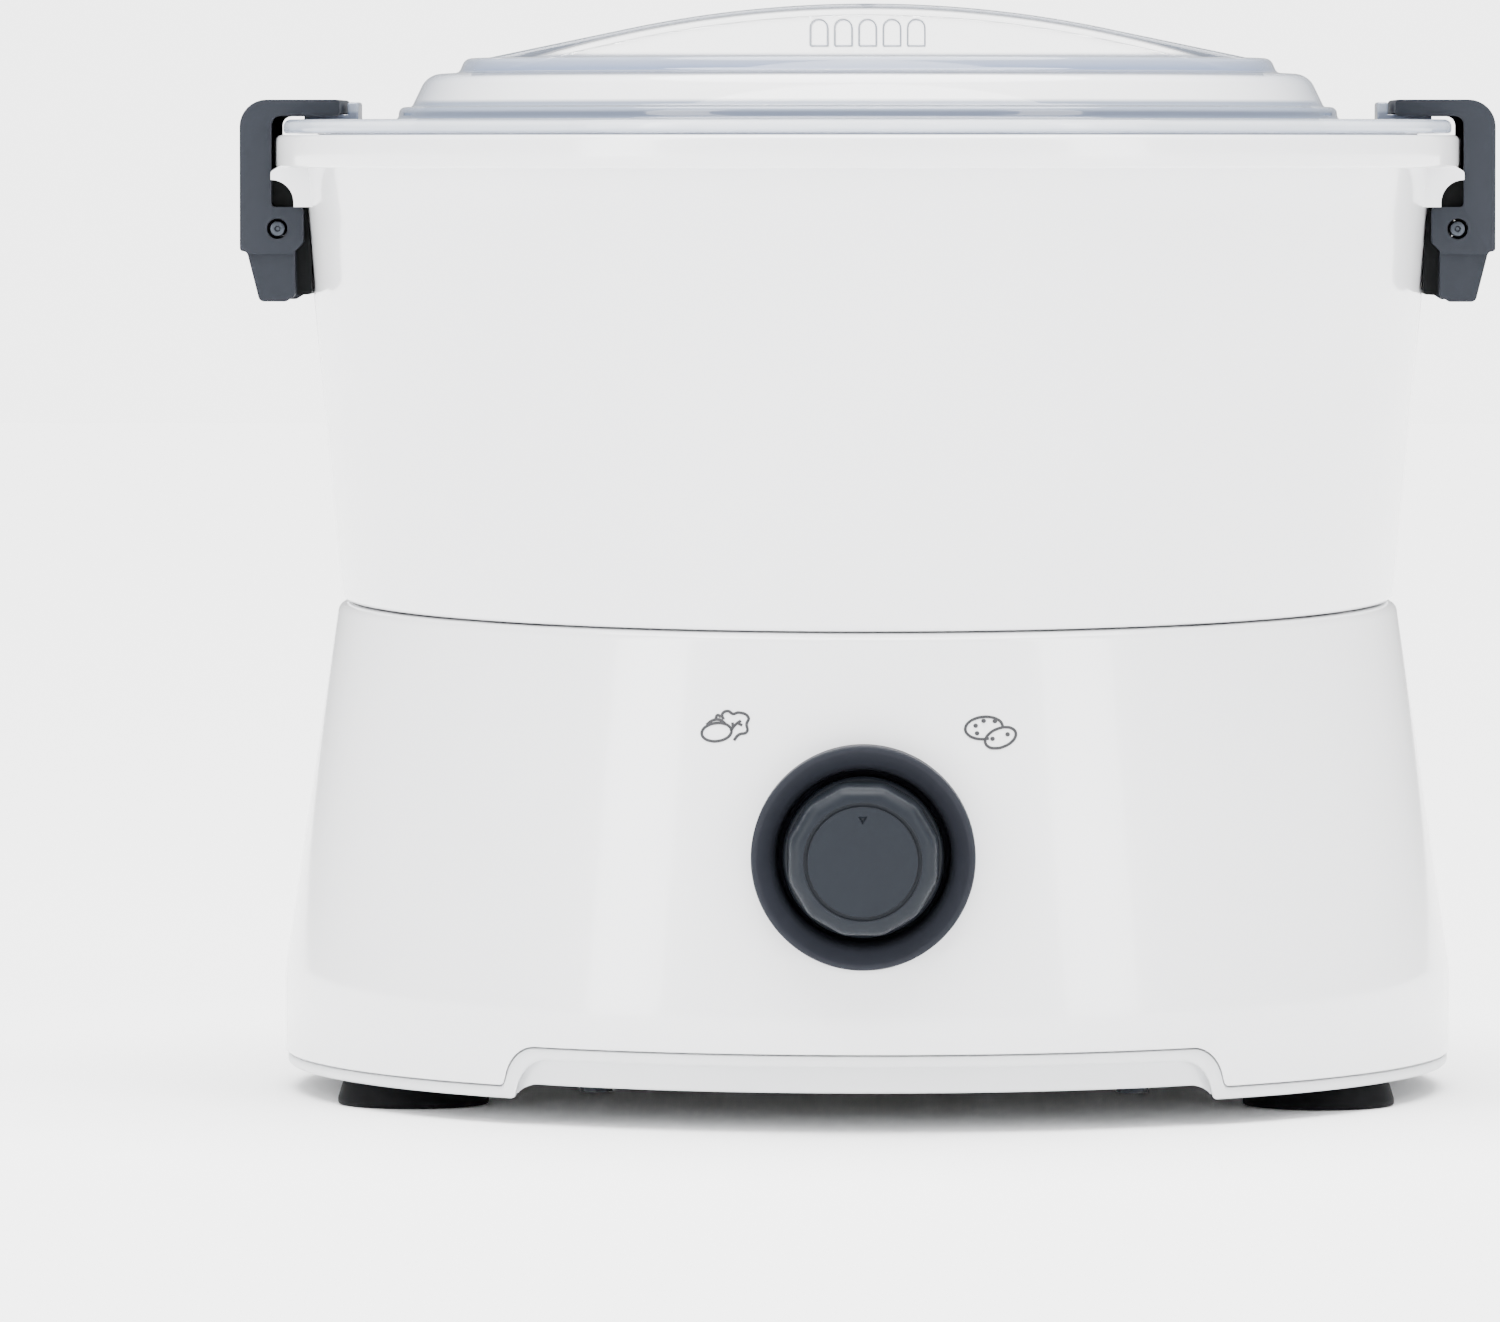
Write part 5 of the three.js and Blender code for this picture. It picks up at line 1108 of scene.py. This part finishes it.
def bracket():
    plate = carried([(-7.4, -14.5, 0.6), (-4.2, -14.7, 0.4), (-4.2, 4.8), (-7.4, 4.8)], -BRACKET_HALF, BRACKET_HALF)
    pad = carried([(-12, -7), (-4.2, -7), (-4.2, 4.8), (-12, 4.8)], -15, 15)
    ears = []
    for near, far in ((-BRACKET_HALF, -EAR_INSIDE), (EAR_INSIDE, BRACKET_HALF)):
        ears.append(carried([
            (-6.1, -5), (5, -5, 5), (5, 4.8, 1), (2.2, 10.8, 0.4), (-3.8, 10.8, 6), (-3.8, 4.8), (-6.1, 4.8),
        ], near, far))
    body = joined(plate, pad, *ears)
    wall = post(bowl_radius_at(170) + FIT_GAP, 170, 215, AROUND, top=bowl_radius_at(215) + FIT_GAP)
    shifted(wall, -PIN_REACH, z=-PIN_HEIGHT)
    stakes = []
    for y in (-9, 9):
        bar = turned_by(post(2, -10.2, -4.5, 32), 90, "Y")
        head = turned_by(post(3.2, -10.8, -9.6, 32), 90, "Y")
        stakes.append(shifted(joined(bar, head), y=y, z=1))
    return together(cut(body, wall, pin_hole(BRACKET_BORE)), *stakes)


def pin():
    half = CLIP_HALF - 0.5
    profile = [(0, 0.5 - half), (0.4, 0.5 - half), (0.7, -half), (PIN_RADIUS, -half, 0.5)]
    mirrored = [(r, -z, *rest) for r, z, *rest in reversed(profile)]
    return turned_by(turned(profile + mirrored, steps=40), 90, "X")


for side, turn in (("right", 0), ("left", 180)):
    def at_side(shape):
        return turned_by(shifted(shape, PIN_REACH, z=PIN_HEIGHT), turn)

    piece(f"rocker_{side}", at_side(clip()), f"{side}_clip", CLIP_GREY, "clip_grey_abs", f"{side}_clip", smooth=35)
    piece(f"bracket_{side}", at_side(bracket()), "bowl", BRACKET_GREY_AND_PAINTED_SHADE, "black_plastic", f"{side}_clip_bracket")
    piece(f"pin_{side}", at_side(pin()), "bowl", RIVET_STEEL, "ground_steel", f"{side}_clip_pin")

# %% [markdown]
# ## Inside
# The disc and its hub show through the lid. The disc is a flat plate with a rolled edge, three long waves
# that toss the potatoes, and ribs beneath. The hub drops over the chimney and takes the drive.

# %% Peeling disc
HUB_SCREWS = 3
HUB_SCREW_OUT = 27.5
WAVE_COUNT = 3
DISC_RIBS = 6
DISC_LOW, DISC_TOP = 124, 127
DISC_EDGE = 111.5
HUB_RADIUS = 21.7


def wave():
    shape = bmesh.new()
    bmesh.ops.create_uvsphere(shape, u_segments=64, v_segments=32, radius=1)
    placed(shape, Matrix.Diagonal((32 * MM, 12 * MM, 7 * MM, 1)))
    shifted(shape, 70, z=DISC_TOP)
    bmesh.ops.bisect_plane(
        shape, geom=shape.verts[:] + shape.edges[:] + shape.faces[:], plane_co=(0, 0, (DISC_TOP - 1.5) * MM),
        plane_no=(0, 0, -1), clear_outer=True,
    )
    bmesh.ops.holes_fill(shape, edges=shape.edges)
    return shape


def disc_rib():
    return rounded_rims(block(34, 106, -1.2, 1.2, 120, 125), 0.5)


def screw_holes(low, high):
    return all_round(lambda: shifted(post(2, low, high, 32), x=HUB_SCREW_OUT), HUB_SCREWS)


def disc():
    flat = turned([
        (HUB_RADIUS, DISC_LOW), (DISC_EDGE, DISC_LOW, 1.4), (DISC_EDGE, DISC_TOP, 1.4), (HUB_RADIUS, DISC_TOP),
    ])
    ribs = all_round(disc_rib, DISC_RIBS, first=30)
    return together(cut(flat, *screw_holes(118, 130)), *all_round(wave, WAVE_COUNT), *ribs)


def hub():
    body = turned([
        (0, 134.5), (17.8, 134.5), (17.8, 120.8, 0.3), (21.4, 120.8, 0.4), (21.4, 127.3), (32, 127.3, 0.6),
        (32, 130.5, 1.4), (23.5, 130.5, 3), (18, 145.6, 5), (0, 148),
    ], steps=120)
    socket = post(9, 130, 145, 6)
    return cut(body, socket, *screw_holes(120, 129.7))


piece("grit_disc", disc(), "disc", GRIT, "abrasive_coat", "peeling_disc")
piece("disc_hub_dome", hub(), "disc", BEZEL_GREY, "dark_grey_abs", "disc_hub")

# %% [markdown]
# A rubber gland at the back is where the mains lead would come out. The photograph shows no lead, so the
# gland is all that is made.

# %% Gland
def gland():
    bush = turned([
        (3.3, 121, 0.4), (5.4, 121, 0.4), (5.4, 130.1), (8.5, 130.1, 0.3), (8.5, 132.8, 1.2), (3.3, 132.8, 0.8),
    ], steps=72)
    return turned_by(facing_front(bush, GLAND_HEIGHT), 180)


piece("lead_gland", gland(), "base", RUBBER, "black_rubber", "cord_gland")

# %% [markdown]
# ## Finishes of the hidden pieces
# The motor, the gears and the switch keep their engineering shapes. Each gets the finish of what it is made of.

# %% Dress the solids that stay
FINISHES = (
    (BLACK_PP, "rotary_switch drive_dog"),
    (RUBBER, "shaft_seal"),
    (NATURAL_NYLON, "drive_gear idler_gear cooling_fan"),
    (GROUND_STEEL, "drive_shaft motor_shaft switch_spindle idler_axle shaft_clip"),
    (ZINC_STEEL, "gearbox_plate motor_upper_bracket motor_lower_bracket switch_nut"),
    (LAMINATED_STEEL, "motor_stator armature_core"),
    (SINTERED_BRONZE, "lower_shaft_bearing upper_shaft_bearing upper_motor_bearing lower_motor_bearing"),
    (TURNED_BRASS, "motor_pinion brush_holder_left brush_holder_right"),
    (WOUND_COPPER, "field_coil_front field_coil_back armature_windings commutator"),
    (PRESSED_CARBON, "carbon_brush_left carbon_brush_right"),
)
finish_of = {name: finish for finish, names in FINISHES for name in names.split()}
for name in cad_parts:
    if "screw" in name:
        finish_of[name] = BLACKED_STEEL if "cover" in name else GROUND_STEEL
for name, finish in finish_of.items():
    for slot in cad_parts[name].material_slots:
        slot.material = finish
print("finishes given to", len(finish_of), "solids")

# %% [markdown]
# ## The studio
# The photograph is a cut-out on pure white: bright, soft light from all round, with faint upright bands on the
# glossy walls, which two tall windows draw here. The background is a band of light round the horizon that darkens
# upwards. The room that lights the piece is dimmer than this backdrop, so that the white walls turn a little
# darker than it and keep their outline. A very wide sun straight above acts as the ceiling lights: it lights the
# whole floor evenly, so the floor runs into the background almost without a line.

# %% Floor
FLOOR_HALF = 6
FLOOR_DROP = 0.0002
PAPER = "#FBFBFB"

paper, paper_tree = new_material("white_paper", PAPER)
matte = add(paper_tree, "BsdfPrincipled", {"Base Color": linear(PAPER), "Roughness": 0.9})
add(paper_tree, "OutputMaterial", {"Surface": matte})
floor_shape = bmesh.new()
bmesh.ops.create_grid(floor_shape, x_segments=1, y_segments=1, size=FLOOR_HALF)
floor = in_scene("floor", mesh_of(floor_shape, "floor"))
floor.location.z = -FLOOR_DROP
floor.data.materials.append(paper)

# %% Sky and lamps
HORIZON_LIGHT = 4.3
ROOM_LIGHT = 0.8
SKY_LIGHT = 0.6
BAND_EDGES = 0.08, 0.3
SUN_FROM_ABOVE = 12.5
SUN_SPREAD = 60
WINDOW_SIZE = 0.6, 1.9
WINDOWS = ("left_window", (-1.5, -1.4, 0.9), 42), ("right_window", (1.5, -1.45, 0.9), 36)
LAMP_AIM = Vector((0, 0, 0.12))

world = bpy.data.worlds.new("studio")
world.use_nodes = True
sky_tree = world.node_tree
sky_tree.nodes.clear()
towards = add(sky_tree, "TexCoord").outputs["Generated"]
rise = add(sky_tree, "SeparateXYZ", {"Vector": towards}).outputs["Z"]
slope = add(sky_tree, "Math", {0: rise}, operation="ABSOLUTE")
backdrop = add(sky_tree, "MapRange", {
    "Value": slope, "From Min": BAND_EDGES[0], "From Max": BAND_EDGES[1], "To Min": HORIZON_LIGHT, "To Max": SKY_LIGHT,
}, interpolation_type="SMOOTHSTEP")
path = add(sky_tree, "LightPath").outputs
seen = add(sky_tree, "Math", {0: path["Is Camera Ray"], 1: path["Is Transmission Ray"]}, operation="MAXIMUM")
strength = add(sky_tree, "Mix", {"Factor": seen, "A": ROOM_LIGHT, "B": backdrop})
sky = add(sky_tree, "Background", {"Color": (1, 1, 1, 1), "Strength": strength})
add(sky_tree, "OutputWorld", {"Surface": sky})
bpy.context.scene.world = world

for name, place, power in WINDOWS:
    lamp = bpy.data.lights.new(name, "AREA")
    lamp.shape = "RECTANGLE"
    lamp.size, lamp.size_y = WINDOW_SIZE
    lamp.energy = power
    window = in_scene(name, lamp)
    window.location = place
    window.rotation_euler = (LAMP_AIM - window.location).to_track_quat("-Z", "Y").to_euler()
overhead = bpy.data.lights.new("overhead", "SUN")
overhead.energy = SUN_FROM_ABOVE
overhead.angle = math.radians(SUN_SPREAD)
in_scene("overhead", overhead)
